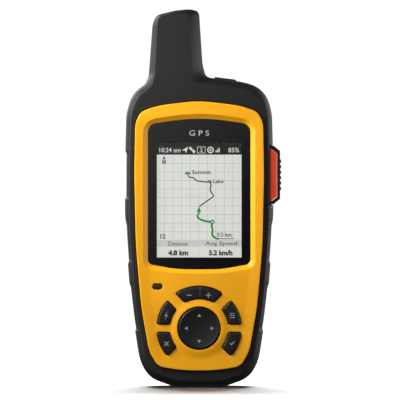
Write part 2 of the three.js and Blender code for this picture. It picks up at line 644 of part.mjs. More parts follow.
const frontHousing = cut(
  frontBlank.subtract(cavity).add(union(screwPlaces.map(boss)).intersect(frontBlank)),
  [
    bezelSeat,
    slab(grown(LENS, GAP), LENS_LEDGE_Y, -REACH),
    slab(SCREEN_HOLE, CAVITY_FRONT_Y + 1, -REACH),
    ...keypadHoles(CAVITY_FRONT_Y + 1, -REACH),
    ...screwPlaces.map(([x, z]) => shankHole(x, z, CASE_SCREW, PARTING_Y + 1, CASE_SCREW.tipY - 1)),
    insertBox(GAP),
    flapRecess,
    portHole,
  ],
);
piece('front_housing', onFrontSide(frontHousing), BLACK_RUBBER);

const bezelBlank = solid(loft([
  ringAt(rounded(BEZEL), BEZEL_BACK_Y),
  ringAt(rounded(BEZEL), BEZEL_EDGE_Y),
  ringAt(rounded(grown(BEZEL, -BEZEL_SHOULDER_INSET)), BEZEL_SHOULDER_Y),
  ringAt(rounded(grown(BEZEL, -BEZEL_FRONT_INSET)), BEZEL_FRONT_Y),
]));
const windowCut = solid(loft([
  ringAt(rounded(WINDOW), BEZEL_BACK_Y + 1),
  ringAt(rounded(WINDOW), BEZEL_BACK_Y - GAP),
  ringAt(rounded(WINDOW_LIP), BEZEL_FRONT_Y),
  ringAt(rounded(WINDOW_LIP), BEZEL_FRONT_Y - 1),
]));
const padRing = rod(0, KEY_CENTRE_Z, BEZEL_SHOULDER_Y, PAD_RING_FRONT_Y, PAD_RING_FOOT_R, PAD_RING_TOP_R, 48);
piece('front_bezel', cut(bezelBlank.add(padRing), [
  windowCut,
  ...keypadHoles(BEZEL_BACK_Y + 1, -REACH),
]), YELLOW_PLASTIC);

piece('display_window', slab(LENS, LENS_BACK_Y, LENS_FRONT_Y), DARK_GLASS);
piece('window_gasket', cut(slab(LENS, LENS_LEDGE_Y - GAP, LENS_BACK_Y + GAP), [
  slab(grown(SCREEN_HOLE, GAP), 0, -REACH),
]), KEY_RUBBER);
piece('lcd_panel', blockOf(LCD_PANEL), SCREEN);
piece('lcd_backlight', blockOf(LCD_BACKLIGHT), PALE_PLASTIC);
piece('lcd_flex', ribbon([
  [-8.1, 53.5], [-8.1, 50.2], [-3.8, 50.2], [-3.8, 50.5], [-7.8, 50.5], [-7.8, 53.5],
], -8, 8), FILM);

// ---------------------------------------------------------------- keypad

Object.entries(KEYS).forEach(([name, key]) => {
  const foot = ringSegment(key, KEY_CLEARANCE);
  piece(name, loft([
    ringAt(foot, KEY_BACK_Y),
    ringAt(foot, KEY_FRONT_Y + KEY_CHAMFER),
    ringAt(ringSegment(key, KEY_CLEARANCE + KEY_CHAMFER), KEY_FRONT_Y),
  ]), KEY_RUBBER);
});

// The direction pad is dished, with a raised rim. Its profile is radius and y.
const PAD_PROFILE = [
  [0, PAD_BACK_Y], [PAD_R, PAD_BACK_Y], [PAD_R, -14.5], [8.4, -15.1], [7.6, -14.8], [4, -14.4], [0, -14.3],
];
const padProfile = PAD_PROFILE.map(([radius, y]) => new THREE.Vector2(radius, y)).reverse();
const navPad = new THREE.LatheGeometry(padProfile, 40);
navPad.translate(0, 0, KEY_CENTRE_Z);
piece('nav_pad', solid(navPad), KEY_RUBBER);
piece('nav_gimbal', rod(0, KEY_CENTRE_Z, GIMBAL_BACK_Y, PAD_BACK_Y + GAP, GIMBAL_R), PALE_PLASTIC);
piece('status_led', slab(ledOutline(0), KEY_BACK_Y, BEZEL_FRONT_Y + GAP, 5), SMOKED_PLASTIC);
piece('keypad_mat', slab(KEYPAD, -7.9, -8.5), KEY_RUBBER);
piece('dome_sheet', slab(grown(KEYPAD, -0.4), -7.2, -7.6), PALE_PLASTIC);
piece('keypad_board', slab(grown(KEYPAD, -0.2), -5.6, -6.9), BOARD);

// ---------------------------------------------------------------- boards, antennas and battery

piece('chassis', slab(CHASSIS, -3.7, -4.9), STEEL);
piece('main_board', slab(MAIN_BOARD, -2.2, -3.4), BOARD);
piece('shield_can_left', blockOf(SHIELD_CAN_LEFT), STEEL);
piece('shield_can_right', blockOf(SHIELD_CAN_RIGHT), STEEL);
piece('satellite_modem', blockOf(SATELLITE_MODEM), STEEL);
piece('battery_pack', slab(BATTERY, 12.5, 1.5, 4), BATTERY_WRAP);
piece('battery_plug', blockOf(BATTERY_PLUG), PALE_PLASTIC);
piece('gps_antenna', blockOf(GPS_ANTENNA), CERAMIC);
piece('buzzer', rod(12, 114.5, 5, 1.6, 4.2), KEY_RUBBER);

piece('antenna_core', post(ANTENNA_X, ANTENNA_Y, 124, 157, 3.3), PALE_PLASTIC);
const HELIX_STEPS = 25;
const helixPoints = Array.from({ length: HELIX_STEPS + 1 }, (_, k) => {
  const angle = (k / HELIX_STEPS) * HELIX_TURNS * Math.PI * 2;
  return [
    ANTENNA_X + HELIX_R * Math.cos(angle),
    ANTENNA_Y + HELIX_R * Math.sin(angle),
    lerp(HELIX_LOW_Z, HELIX_HIGH_Z, k / HELIX_STEPS),
  ];
});
piece('antenna_helix', wire(helixPoints, 0.4, 2 * HELIX_STEPS, 3), BRASS);
piece('antenna_coax', wire([
  [ANTENNA_X, ANTENNA_Y, 123.6], [ANTENNA_X, 0, 119], [-10, 2.5, 114], [-9, 3, 108.4],
], 0.65, 14, 4), KEY_RUBBER);

// ---------------------------------------------------------------- rear half

const backHousing = cut(
  backBlank.subtract(cavity)
    .add(union(screwPlaces.map(boss)).intersect(backBlank))
    .add(union(SPINE_SCREW_Z.map(spineBoss))),
  [
    slab(grown(LABEL, GAP), REACH, BACK_Y - LABEL_RECESS),
    ...screwPlaces.map(([x, z]) => shankHole(x, z, CASE_SCREW, REACH, PARTING_Y - 1)),
    ...screwPlaces.map(([x, z]) => headHole(x, z, CASE_SCREW)),
    ...SPINE_SCREW_Z.map((z) => shankHole(0, z, SPINE_SCREW, REACH, SPINE_SCREW.tipY - GAP)),
    insertBox(GAP),
    flapRecess,
    portHole,
  ],
);
piece('rear_housing', onBackSide(backHousing), BLACK_RUBBER);
const labelFront = BACK_Y - LABEL_RECESS + GAP;
piece('rear_label', slab(LABEL, labelFront + LABEL_THICK, labelFront), PALE_PLASTIC);
screwPlaces.forEach(([x, z], i) => piece(`case_screw_${i + 1}`, screw(x, z, CASE_SCREW), STEEL));

const spineFoot = slab(SPINE_FOOT, SPINE_STEP_Y, BACK_Y + GAP);
const spineHead = slab(SPINE_HEAD, SPINE_BACK_Y, SPINE_STEP_Y);
piece('mounting_spine', cut(spineFoot.add(spineHead), SPINE_SCREW_Z.flatMap((z) => [
  shankHole(0, z, SPINE_SCREW, REACH, BACK_Y - 1),
  headHole(0, z, SPINE_SCREW),
])), BLACK_RUBBER);
SPINE_SCREW_Z.forEach((z, i) => piece(`spine_screw_${i + 1}`, screw(0, z, SPINE_SCREW), STEEL));

export default unit;
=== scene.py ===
"""Handheld GPS unit: fine surfaces, materials, light and camera round the packed CAD model.

Lengths in the tables and builders are millimetres; every mesh is written in metres. The display
faces -Y and +X is the reader's right, as in the CAD model.
"""
from collections import namedtuple
from contextlib import contextmanager
import json
import math

import bmesh
import bpy
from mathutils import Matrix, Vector
from mathutils.geometry import delaunay_2d_cdt
from mathutils.kdtree import KDTree


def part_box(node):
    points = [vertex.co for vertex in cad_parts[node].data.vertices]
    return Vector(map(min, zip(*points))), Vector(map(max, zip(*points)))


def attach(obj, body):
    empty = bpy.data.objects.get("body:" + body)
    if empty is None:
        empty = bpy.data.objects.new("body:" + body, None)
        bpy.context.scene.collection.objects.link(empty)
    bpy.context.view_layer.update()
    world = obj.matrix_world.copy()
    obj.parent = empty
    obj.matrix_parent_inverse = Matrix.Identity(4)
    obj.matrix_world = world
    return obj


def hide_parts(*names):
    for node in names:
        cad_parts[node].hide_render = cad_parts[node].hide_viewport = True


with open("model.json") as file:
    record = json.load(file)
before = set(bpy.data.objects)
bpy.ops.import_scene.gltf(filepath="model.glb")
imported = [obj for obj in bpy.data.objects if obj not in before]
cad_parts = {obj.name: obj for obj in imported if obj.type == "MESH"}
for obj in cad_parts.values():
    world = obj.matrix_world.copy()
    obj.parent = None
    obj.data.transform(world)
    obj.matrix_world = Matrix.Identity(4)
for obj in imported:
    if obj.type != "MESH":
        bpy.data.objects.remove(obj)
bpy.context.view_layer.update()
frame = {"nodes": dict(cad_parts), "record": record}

MM = 0.001
GAP = 0.3                        # clearance kept where CAD pieces meet

# ---------------------------------------------------------------- outlines
# Corners are x, z and the radius each is rounded to. They run up the reader's right side, over the
# top and down the left. The widest, front and rear outlines match corner by corner.


def mirrored(corners):
    return [(-x, z, radius) for x, z, radius in reversed(corners)]


WIDEST_SIDE = [
    (10.5, 0, 22), (21.6, 4, 11.5), (25.7, 11, 20), (29.6, 36.5, 220), (32.2, 70, 260),
    (32.15, 97, 260), (31.6, 118.6, 24),
]
WIDEST = WIDEST_SIDE + [
    (28.6, 129.2, 12), (19, 132.3, 36), (2.9, 134.3, 3), (1.45, 140.2, 14), (-0.05, 162.8, 2.4),
    (-4, 163.9, 12), (-10.6, 163.2, 16), (-18.4, 161.3, 3.6), (-20.2, 158, 9), (-21.9, 135, 6),
    (-23.4, 131.2, 6), (-28.9, 127.6, 12),
] + mirrored(WIDEST_SIDE)
FRONT_SIDE = [
    (9.5, 3.4, 18), (18.8, 6.6, 10), (22.9, 13, 18), (27.1, 37, 200), (29.65, 70, 240),
    (29.6, 97, 240), (29.1, 117.6, 20),
]
FRONT = FRONT_SIDE + [
    (26.2, 125.9, 10), (17, 128.9, 30), (-1.9, 130.3, 3), (-2.9, 139, 14), (-4.3, 161.2, 1.2),
    (-6.3, 161.9, 5), (-11, 161.7, 12), (-17.3, 160.3, 1.6), (-18, 157.6, 6), (-19, 136, 6),
    (-20.6, 129.6, 6), (-26.3, 125, 9),
] + mirrored(FRONT_SIDE)
BACK_SIDE = [
    (9, 5, 16), (17.5, 8.6, 9), (21.3, 15, 16), (24.9, 38, 180), (27.2, 70, 220),
    (27.2, 97, 220), (26.8, 116.2, 18),
]
BACK = BACK_SIDE + [
    (23.8, 123.4, 9), (15.5, 126.4, 26), (-1, 128, 3), (-2.4, 140, 14), (-3.6, 160.6, 1),
    (-5.8, 161.3, 5), (-11, 161.2, 12), (-16.9, 159.8, 1.5), (-17.5, 157.2, 5), (-18.4, 140, 6),
    (-19.4, 128.4, 6), (-24.4, 122.6, 8),
] + mirrored(BACK_SIDE)
BEZEL_SIDE = [
    (8, 7.45, 70), (17.9, 9.3, 5.5), (21.6, 15.9, 16), (24.9, 34.5, 140), (27.3, 61, 220),
    (27.95, 92, 260), (27.6, 114.3, 12), (25.2, 119.2, 5.5), (18, 121.8, 36),
]
BEZEL = BEZEL_SIDE + [(0, 124.1, 60)] + mirrored(BEZEL_SIDE)
WINDOW_SIDE = [(9, 51.1, 60), (22.2, 53.4, 2.8), (22.2, 113.9, 4.2)]
WINDOW = WINDOW_SIDE + [(0, 117, 80)] + mirrored(WINDOW_SIDE)
LIP_SIDE = [(9.5, 49.7, 62), (24, 51.9, 4), (24, 115.3, 6)]
WINDOW_LIP = LIP_SIDE + [(0, 119, 82)] + mirrored(LIP_SIDE)
CAVITY_SIDE = [
    (8.5, 7.2, 16), (17, 9.5, 8), (21.6, 15.5, 16), (25.6, 37, 180), (28.2, 70, 220),
    (28.2, 97, 220), (27.6, 116.5, 18), (24, 124.2, 9), (15, 127.6, 26),
]
CAVITY = CAVITY_SIDE + mirrored(CAVITY_SIDE)
STUB_CAVITY = [(-5.8, 120, 1), (-6.8, 159, 2), (-16, 158, 2), (-17, 120, 1)]


def rectangle(x0, z0, x1, z1, radius):
    return [(x1, z0, radius), (x1, z1, radius), (x0, z1, radius), (x0, z0, radius)]


SCREEN_HOLE = rectangle(-20.6, 54.5, 20.6, 108.5, 1.5)
LABEL = rectangle(-14, 22, 14, 46, 1.5)
SPINE_FOOT = rectangle(-6.5, 66, 6.5, 110, 3)
SPINE_HEAD = rectangle(-9.5, 63, 9.5, 113, 5)

# ---------------------------------------------------------------- driving dimensions

PARTING_Y = 2
PARTING_ROUND = 0.25
FRONT_Y, BACK_Y = -13, 16
FRONT_WALL_Y, BACK_WALL_Y = -6, 6
STUB_BASE_Z, STUB_TIP_Z = 129, 164
STUB_TIP_FRONT_Y, STUB_TIP_BACK_Y = -9.5, 8
STUB_NECK_Z, STUB_NECK_BACK_Y = 139, 9.5
CAVITY_FRONT_Y, CAVITY_BACK_Y = -9, 13.5
STUB_CAVITY_FRONT_Y, STUB_CAVITY_BACK_Y = -7.5, 5.5

BEZEL_SEAT_Y = -12
BEZEL_BACK_Y = -12.3
BEZEL_RIM_Y, BEZEL_CREASE_Y, BEZEL_MID_Y = -14.6, -14.1, -14.25
BEZEL_SILL_Y = -12.36
BEZEL_STRIP = 4.6                # width of the band that slopes in from the bezel's rim
BAND_FOOT, BAND_TOP = (9, 20), (112, 120)       # heights over which that band comes and goes
DOME_RISE = 14                   # width over which the middle rises from the band's crease
LENS_OVERLAP = 1.2               # how far the lens runs under the bezel
LENS_FRONT_Y, LENS_BACK_Y, LENS_LEDGE_Y = -12, -10.9, -9.9

KEY_CENTRE_Z = 25.7
PAD_HOLE_R = 9.4
KEY_INNER_R, KEY_OUTER_R = 12.5, 18.4
KEY_CLEARANCE = 0.35
KEY_FRONT_Y, KEY_BACK_Y = -15, -9.3
RING_FOOT_R, RING_TOP_R, RING_FRONT_Y = 12.9, 9.9, -14.9
KEYS = {
    "key_menu": (0, 1.5, 45, 1),
    "key_power": (135, 1, 180, 1.5),
    "key_back": (180, 1.5, 225, 1),
    "key_enter": (315, 1, 360, 1.5),
    "zoom_rocker": (45, 3.26, 135, 3.26),
}
LED_X, LED_Z, LED_HALF_WIDTH, LED_HALF_HEIGHT = -18, 43.7, 1.95, 1.05

INSERT_X, INSERT_LOW_Z, INSERT_HIGH_Z, INSERT_BACK_Y = 27.5, 77.8, 106.5, 12.5
GUARD_MID_Z, POCKET_HALF, GUARD_FLOOR_X, POCKET_BACK_Y = 91.95, 12.95, 30.3, 9.05
GUARD_HINGE_X, GUARD_HINGE_Y, KNUCKLE_R = 31.5, 7.1, 1.25
SOS_Y, SOS_KEY_R = -2.5, 4.5

TOP_EDGE = [(2.9, 134.3), (19, 132.3)]
FLAP_LEFT_X, FLAP_RIGHT_X, FLAP_HALF_DEPTH, FLAP_RECESS_DEEP = 6.7, 16, 5.2, 0.95
PORT_X, PORT_Y, PORT_FLOOR_Z = (8, 14.2), (-1.6, 1.2), 119.5

CASE_SCREWS = [(14, 11), (24.3, 62), (22.8, 115.5)]
BOSS_R = 2.6
SPINE_SCREW_Z = [72, 104]

SCREW_HOLE_R, SCREW_TIP_Y = 1.25, -7.5
COUNTERBORE_R, COUNTERBORE_MOUTH_R = 2.15, 2.5
SPINE_HOLE_R, SPINE_TIP_Y, SPINE_HEAD_THICK = 1.5, 11.7, 3.6
PIN_R, PIN_HALF = 0.8, 13.9
LABEL_DEEP = 0.8

REACH = 60                       # past the case's sides, front and back, for tools that cut right through
PAST = 1                         # how far a tool runs past what it has to open

# ---------------------------------------------------------------- small maths


def lerp(a, b, t):
    return a + (b - a) * t


def clamp(t, low=0.0, high=1.0):
    return max(low, min(high, t))


def smoothstep(t, low, high):
    t = clamp((t - low) / (high - low))
    return t * t * (3 - 2 * t)


def map_linear(value, a0, a1, b0, b1):
    return b0 + (value - a0) * (b1 - b0) / (a1 - a0)


def rounded(corners, steps=8, runs=None):
    """Outline points: each corner an arc of so many chords, each straight run cut in runs[i]."""
    count = len(corners)
    points = []
    for i, (x, z, radius) in enumerate(corners):
        here = Vector((x, z))
        back = (Vector(corners[i - 1][:2]) - here).normalized()
        ahead = (Vector(corners[(i + 1) % count][:2]) - here).normalized()
        half = math.acos(clamp(back.dot(ahead), -1, 1)) / 2
        run = radius / math.tan(half)
        centre = here + (back + ahead).normalized() * radius / math.sin(half)
        start = here + back * run - centre
        end = here + ahead * run - centre
        turn = math.atan2(start.x * end.y - start.y * end.x, start.dot(end))
        arc = []
        for k in range(steps + 1):
            c, s = math.cos(turn * k / steps), math.sin(turn * k / steps)
            arc.append(centre + Vector((start.x * c - start.y * s, start.x * s + start.y * c)))
        points.append(arc)
    outline = []
    for i, arc in enumerate(points):
        outline += arc
        after = points[(i + 1) % count][0]
        pieces = runs[i] if runs else 1
        outline += [arc[-1].lerp(after, k / pieces) for k in range(1, pieces)]
    return outline


def run_counts(corners, spacing):
    """How many pieces each straight run between corners is cut into, for a spacing."""
    following = corners[1:] + corners[:1]
    return [max(1, round(math.dist(a[:2], b[:2]) / spacing)) for a, b in zip(corners, following)]


def grown(corners, distance):
    """The same corners with every side moved outwards (inwards when negative)."""
    result = []
    for i, (x, z, radius) in enumerate(corners):
        before, after = corners[i - 1], corners[(i + 1) % len(corners)]
        n_in = Vector((z - before[1], before[0] - x)).normalized()
        n_out = Vector((after[1] - z, x - after[0])).normalized()
        scale = distance / (1 + n_in.dot(n_out))
        turn = (x - before[0]) * (after[1] - z) - (z - before[1]) * (after[0] - x)
        radius = max(0.2, radius + (distance if turn > 0 else -distance))
        result.append((x + (n_in.x + n_out.x) * scale, z + (n_in.y + n_out.y) * scale, radius))
    return result


def area_of(points):
    following = points[1:] + points[:1]
    return sum(a.x * b.y - b.x * a.y for a, b in zip(points, following)) / 2


def wound(points, anticlockwise):
    """The points in the order that runs the wanted way round."""
    points = [Vector(p) for p in points]
    return points if (area_of(points) > 0) == anticlockwise else points[::-1]


def moved_in(points, distance):
    """A dense outline moved to its left-hand side: inwards when it runs anticlockwise."""
    result = []
    for i, here in enumerate(points):
        before, after = points[i - 1], points[(i + 1) % len(points)]
        a = (here - before).normalized()
        b = (after - here).normalized()
        normal = Vector((-a.y - b.y, a.x + b.x)).normalized()
        miter = max(0.5, normal.dot(Vector((-a.y, a.x))))
        result.append(here + normal * distance / miter)
    return result


def circle(x, z, radius, sides=64):
    turns = [2 * math.pi * k / sides for k in range(sides)]
    return [Vector((x + radius * math.cos(turn), z + radius * math.sin(turn))) for turn in turns]


# ---------------------------------------------------------------- mesh builders

MERGE = 1e-7                     # metres between vertices that are joined
CREASE = math.radians(32)
FACET, BEVEL_FROM = math.radians(1), math.radians(28)
ROUND_STEPS, BEVEL_STEPS = 4, 3
INSIDE_WITH_HOLES = 2            # the triangulator's number for outlines with holes
LEAN_FROM_Z, LEAN_SPACING = 122, 1.5    # where the case's faces stop being flat

Edge = namedtuple("Edge", "points radius below", defaults=(0.0, ()))
Edge.__doc__ = "One boundary of a plate: its plan, the radius of its front edge, and outlines further down."


def new_object(name, data):
    obj = bpy.data.objects.new(name, data)
    bpy.context.scene.collection.objects.link(obj)
    return obj


@contextmanager
def editing(mesh):
    """A mesh's vertices and faces, written back to it afterwards."""
    bm = bmesh.new()
    bm.from_mesh(mesh)
    yield bm
    bm.to_mesh(mesh)
    bm.free()


def mesh_object(name, verts, faces):
    """A new object from millimetre vertices, with shared ones joined and faces pointing out."""
    mesh = bpy.data.meshes.new(name)
    mesh.from_pydata([v * MM for v in verts], [], faces)
    with editing(mesh) as bm:
        bmesh.ops.remove_doubles(bm, verts=bm.verts, dist=MERGE)
        bmesh.ops.dissolve_degenerate(bm, dist=MERGE, edges=bm.edges)
        bmesh.ops.recalc_face_normals(bm, faces=bm.faces)
    return new_object(name, mesh)


def ring_at(points, y):
    return [Vector((p.x, y, p.y)) for p in points]


def at(axis, along, u, v):
    """A point from its place along an axis and its other two coordinates, in x, y, z order."""
    place = [u, v]
    place.insert("xyz".index(axis), along)
    return Vector(place)


def tree_of(points):
    """A search tree of points in the XZ plane."""
    tree = KDTree(len(points))
    for k, point in enumerate(points):
        tree.insert((point.x, point.y, 0), k)
    tree.balance()
    return tree


def inner_places(rims, spacing):
    """A staggered grid over the rims' extent, keeping clear of every rim."""
    beside = []
    for rim in rims:
        for a, b in zip(rim, rim[1:] + rim[:1]):
            pieces = max(1, math.ceil((b - a).length / (spacing * 0.4)))
            beside += [a.lerp(b, k / pieces) for k in range(pieces)]
    tree = tree_of(beside)
    low_x, high_x = min(p.x for p in beside), max(p.x for p in beside)
    low_z, high_z = min(p.y for p in beside), max(p.y for p in beside)
    for row in range(1, int((high_z - low_z) / spacing) + 1):
        for column in range(1, int((high_x - low_x) / spacing) + 1):
            place = Vector((low_x + (column + 0.5 * (row % 2)) * spacing, low_z + row * spacing))
            if tree.find((place.x, place.y, 0))[2] > spacing * 0.55:
                yield place


def fill(verts, loops, height, spacing=None, above=-math.inf):
    """Triangles between loops (the first outside, the rest holes), as rows of vertex numbers. With a
    spacing, more vertices are added inside, on the height field and above a given z."""
    points, owners, rims = [], [], []
    for numbers, flat in loops:
        rims.append(list(range(len(points), len(points) + len(flat))))
        points += flat
        owners += numbers
    if spacing:
        rim_points = [flat for _, flat in loops]
        points += [place for place in inner_places(rim_points, spacing) if place.y > above]
        owners += [None] * (len(points) - len(owners))
    fine = delaunay_2d_cdt(points, [], rims, INSIDE_WITH_HOLES, 1e-5)
    new_points, triangles, sources = fine[0], fine[2], fine[3]
    numbers = []
    used = {k for triangle in triangles for k in triangle}
    for k, point in enumerate(new_points):
        owner = next((owners[s] for s in sources[k] if owners[s] is not None), None)
        if owner is None and k in used:
            owner = len(verts)
            verts.append(Vector((point.x, height(point.x, point.y), point.y)))
        numbers.append(owner)
    return [tuple(numbers[k] for k in triangle) for triangle in triangles]


def band(rings, start):
    """Quads between neighbouring rings of equal length whose vertices start at a number."""
    count = len(rings[0])
    faces = []
    for r in range(len(rings) - 1):
        for i in range(count):
            a = start + r * count + i
            b = start + r * count + (i + 1) % count
            faces.append((a, b, b + count, a + count))
    return faces


def flat_loop(verts, first, count):
    """The numbers of a run of vertices, with their places in the XZ plane."""
    numbers = list(range(first, first + count))
    return numbers, [Vector((verts[k].x, verts[k].z)) for k in numbers]


def loft(name, rings, caps=(None, None)):
    """A closed body through matching rings. Each end is flat, or follows a depth that depends on z."""
    verts = [p for ring in rings for p in ring]
    count = len(rings[0])
    faces = band(rings, 0)
    for first, depth_at in zip((0, len(verts) - count), caps):
        if depth_at:
            height = lambda x, z: depth_at(z)
            faces += fill(verts, [flat_loop(verts, first, count)], height, LEAN_SPACING, LEAN_FROM_Z)
        else:
            faces.append(tuple(range(first, first + count)))
    return mesh_object(name, verts, faces)


def prism(name, points, back, front):
    return loft(name, [ring_at(points, back), ring_at(points, front)])


def box(name, x0, x1, y0, y1, z0, z1):
    points = [Vector((x1, z0)), Vector((x1, z1)), Vector((x0, z1)), Vector((x0, z0))]
    return prism(name, points, y1, y0)


def rod(name, axis, u, v, start, end, radius, sides=48):
    """A round bar along an axis."""
    points = circle(u, v, radius, sides)
    return loft(name, [[at(axis, along, p.x, p.y) for p in points] for along in (start, end)])


def edge_rings(edge, is_outer, back, height_at, side, back_round):
    """The rings of a plate's side, from its face down to its back."""
    points = wound(edge.points, is_outer)
    steps = range(ROUND_STEPS + 1) if edge.radius else [ROUND_STEPS]
    rings = []
    for k in steps:
        angle = math.pi / 2 * (1 - k / ROUND_STEPS)
        drop = side * edge.radius * (1 - math.sin(angle))
        plan = moved_in(points, edge.radius * (1 - math.cos(angle)))
        rings.append([Vector((p.x, height_at(p.x, p.y) - drop, p.y)) for p in plan])
    for outline, y in edge.below:
        points = wound(outline, is_outer)
        rings.append(ring_at(points, y))
    if back_round and is_outer:
        rings.append(ring_at(points, back + side * back_round))
        points = moved_in(points, back_round)
    return rings + [ring_at(points, back)]


def plate(name, outer, holes, back, height, spacing=None, side=-1, back_round=0.0):
    """A slab in XZ whose face, towards -Y (side -1) or +Y, follows a height field, with rounded
    edges round its outline and its holes."""
    height_at = height if callable(height) else lambda x, z: height
    verts, faces, tops, bottoms = [], [], [], []
    for edge in (outer, *holes):
        rings = edge_rings(edge, edge is outer, back, height_at, side, back_round)
        start, count = len(verts), len(rings[0])
        verts += [v for ring in rings for v in ring]
        faces += band(rings, start)
        tops.append(flat_loop(verts, start, count))
        bottoms.append(flat_loop(verts, len(verts) - count, count))
    faces += fill(verts, tops, height_at, spacing)
    faces += fill(verts, bottoms, lambda x, z: back)
    return smooth(mesh_object(name, verts, faces))


def turned(name, profile, u, v, sides, axis="y"):
    """A body of revolution from (radius, along) points, the first and last on the axis."""
    verts, faces, rings = [], [], []
    for radius, along in profile:
        points = circle(u, v, radius, sides) if radius else [Vector((u, v))]
        rings.append(range(len(verts), len(verts) + len(points)))
        verts += [at(axis, along, p.x, p.y) for p in points]
    for a, b in zip(rings, rings[1:]):
        for k in range(sides):
            corners = [ring[i % len(ring)] for ring, i in ((a, k), (a, k + 1), (b, k + 1), (b, k))]
            faces.append(tuple(dict.fromkeys(corners)))
    return smooth(mesh_object(name, verts, faces))


def smooth(obj):
    """Smooth shading with creases, and flat faces kept flat by weighted normals."""
    obj.data.shade_smooth()
    obj.data.set_sharp_from_angle(angle=CREASE)
    weighted = obj.modifiers.new("weighted", "WEIGHTED_NORMAL")
    weighted.keep_sharp = True
    return apply_modifiers(obj)


def apply_modifiers(obj):
    graph = bpy.context.evaluated_depsgraph_get()
    graph.update()
    mesh = bpy.data.meshes.new_from_object(obj.evaluated_get(graph), depsgraph=graph)
    old = obj.data
    obj.modifiers.clear()
    obj.data = mesh
    bpy.data.meshes.remove(old)
    return obj


def check_closed(obj):
    """The boolean solver leaves a mesh as it is, without a word, when either one has a gap."""
    bm = bmesh.new()
    bm.from_mesh(obj.data)
    gaps = sum(len(edge.link_faces) != 2 for edge in bm.edges)
    bm.free()
    if gaps:
        raise ValueError(f"{obj.name} has {gaps} open edges")


def boolean(obj, tools, operation="DIFFERENCE"):
    """Cuts (or joins, or keeps the common part with) closed tool objects, which are used up."""
    for tool in tools:
        check_closed(obj)
        check_closed(tool)
        modifier = obj.modifiers.new("cut", "BOOLEAN")
        modifier.operation = operation
        modifier.solver = "MANIFOLD"
        modifier.object = tool
        apply_modifiers(obj)
        bpy.data.meshes.remove(tool.data)
    return obj


def bevelled_copy(node, name, width):
    """A copy of a CAD node with its flat facets joined and its edges rounded."""
    obj = new_object(name, frame["nodes"][node].data.copy())
    with editing(obj.data) as bm:
        bmesh.ops.remove_doubles(bm, verts=bm.verts, dist=10 * MERGE)
        bmesh.ops.dissolve_limit(bm, angle_limit=FACET, verts=bm.verts, edges=bm.edges)
    bevel = obj.modifiers.new("bevel", "BEVEL")
    bevel.width = width * MM
    bevel.segments = BEVEL_STEPS
    bevel.limit_method = "ANGLE"
    bevel.angle_limit = BEVEL_FROM
    return smooth(apply_modifiers(obj))


def joined(name, objects):
    """One object from several, used up."""
    mesh = bpy.data.meshes.new(name)
    with editing(mesh) as bm:
        for obj in objects:
            bm.from_mesh(obj.data)
    for obj in objects:
        bpy.data.meshes.remove(obj.data)
    return new_object(name, mesh)


# ---------------------------------------------------------------- materials


class Nodes:
    """Adds nodes to a tree and links them."""

    def __init__(self, tree):
        self.tree = tree

    def feed(self, node, socket, value):
        """Links an output to a node's input, or sets the input's own value."""
        if isinstance(value, bpy.types.NodeSocket):
            self.tree.links.new(value, node.inputs[socket])
        else:
            node.inputs[socket].default_value = value

    def add(self, kind, links=(), **settings):
        node = self.tree.nodes.new(kind)
        for key, value in settings.items():
            setattr(node, key, value)
        for socket, value in dict(links).items():
            self.feed(node, socket, value)
        return node

    def math(self, operation, a, b):
        return self.add("ShaderNodeMath", {0: a, 1: b}, operation=operation).outputs[0]

    def remap(self, value, low, high, from_low=0.3, from_high=0.7):
        return self.add("ShaderNodeMapRange", {
            "Value": value, "From Min": from_low, "From Max": from_high, "To Min": low, "To Max": high,
        }).outputs[0]


class Shader(Nodes):
    """A material, with the textures and mixes that the finishes share."""

    def __init__(self, name):
        self.material = bpy.data.materials.new(name)
        self.material.use_nodes = True
        super().__init__(self.material.node_tree)
        self.bsdf = next(node for node in self.tree.nodes if node.type == "BSDF_PRINCIPLED")
        self.place = self.add("ShaderNodeTexCoord").outputs["Object"]

    def surface(self, color, roughness, specular=0.5, others=()):
        """Sets the surface's colour, roughness, gloss and any other inputs."""
        main = {"Base Color": color, "Roughness": roughness, "Specular IOR Level": specular}
        for socket, value in {**main, **dict(others)}.items():
            self.feed(self.bsdf, socket, value)

    def noise(self, size_mm, detail=2.0, roughness=0.5, stretch=(1, 1, 1)):
        """Cloud noise whose features are about size_mm across, as a 0..1 value."""
        scaled = self.add("ShaderNodeMapping", {"Vector": self.place, "Scale": stretch}).outputs[0]
        return self.add("ShaderNodeTexNoise", {
            "Vector": scaled, "Scale": 1 / (size_mm * MM), "Detail": detail, "Roughness": roughness,
        }).outputs[0]

    def cells(self, size_mm):
        cells = self.add("ShaderNodeTexVoronoi", {"Vector": self.place, "Scale": 1 / (size_mm * MM)})
        return cells.outputs["Distance"]

    def blend(self, factor, a, b):
        return self.add("ShaderNodeMix", {0: factor, 6: a, 7: b}, data_type="RGBA").outputs[2]

    def drift(self, base, shade, size_mm, detail=2.0):
        """A slow change between two colours."""
        return self.blend(self.remap(self.noise(size_mm, detail), 0.0, 1.0), base, shade)

    def at_edges(self):
        """1 close to an edge, 0 on open surfaces: how far a rounded normal leaves the true one."""
        rounded_normal = self.add("ShaderNodeBevel", {"Radius": WORN_REACH * MM}, samples=6).outputs[0]
        true_normal = self.add("ShaderNodeNewGeometry").outputs["Normal"]
        both = {0: rounded_normal, 1: true_normal}
        along = self.add("ShaderNodeVectorMath", both, operation="DOT_PRODUCT").outputs["Value"]
        return self.remap(along, 1.0, 0.0, 0.88, 0.99)

    def worn(self, color, edge, size_mm, low, high):
        """A colour that turns paler, in patches, where edges are rubbed."""
        patches = self.remap(self.noise(size_mm, 3.0), low, high)
        return self.blend(self.math("MULTIPLY", self.at_edges(), patches), color, edge)

    def bump(self, height, strength, distance_mm):
        bump = self.add("ShaderNodeBump", {
            "Height": height, "Strength": strength, "Distance": distance_mm * MM,
        })
        self.feed(self.bsdf, "Normal", bump.outputs[0])


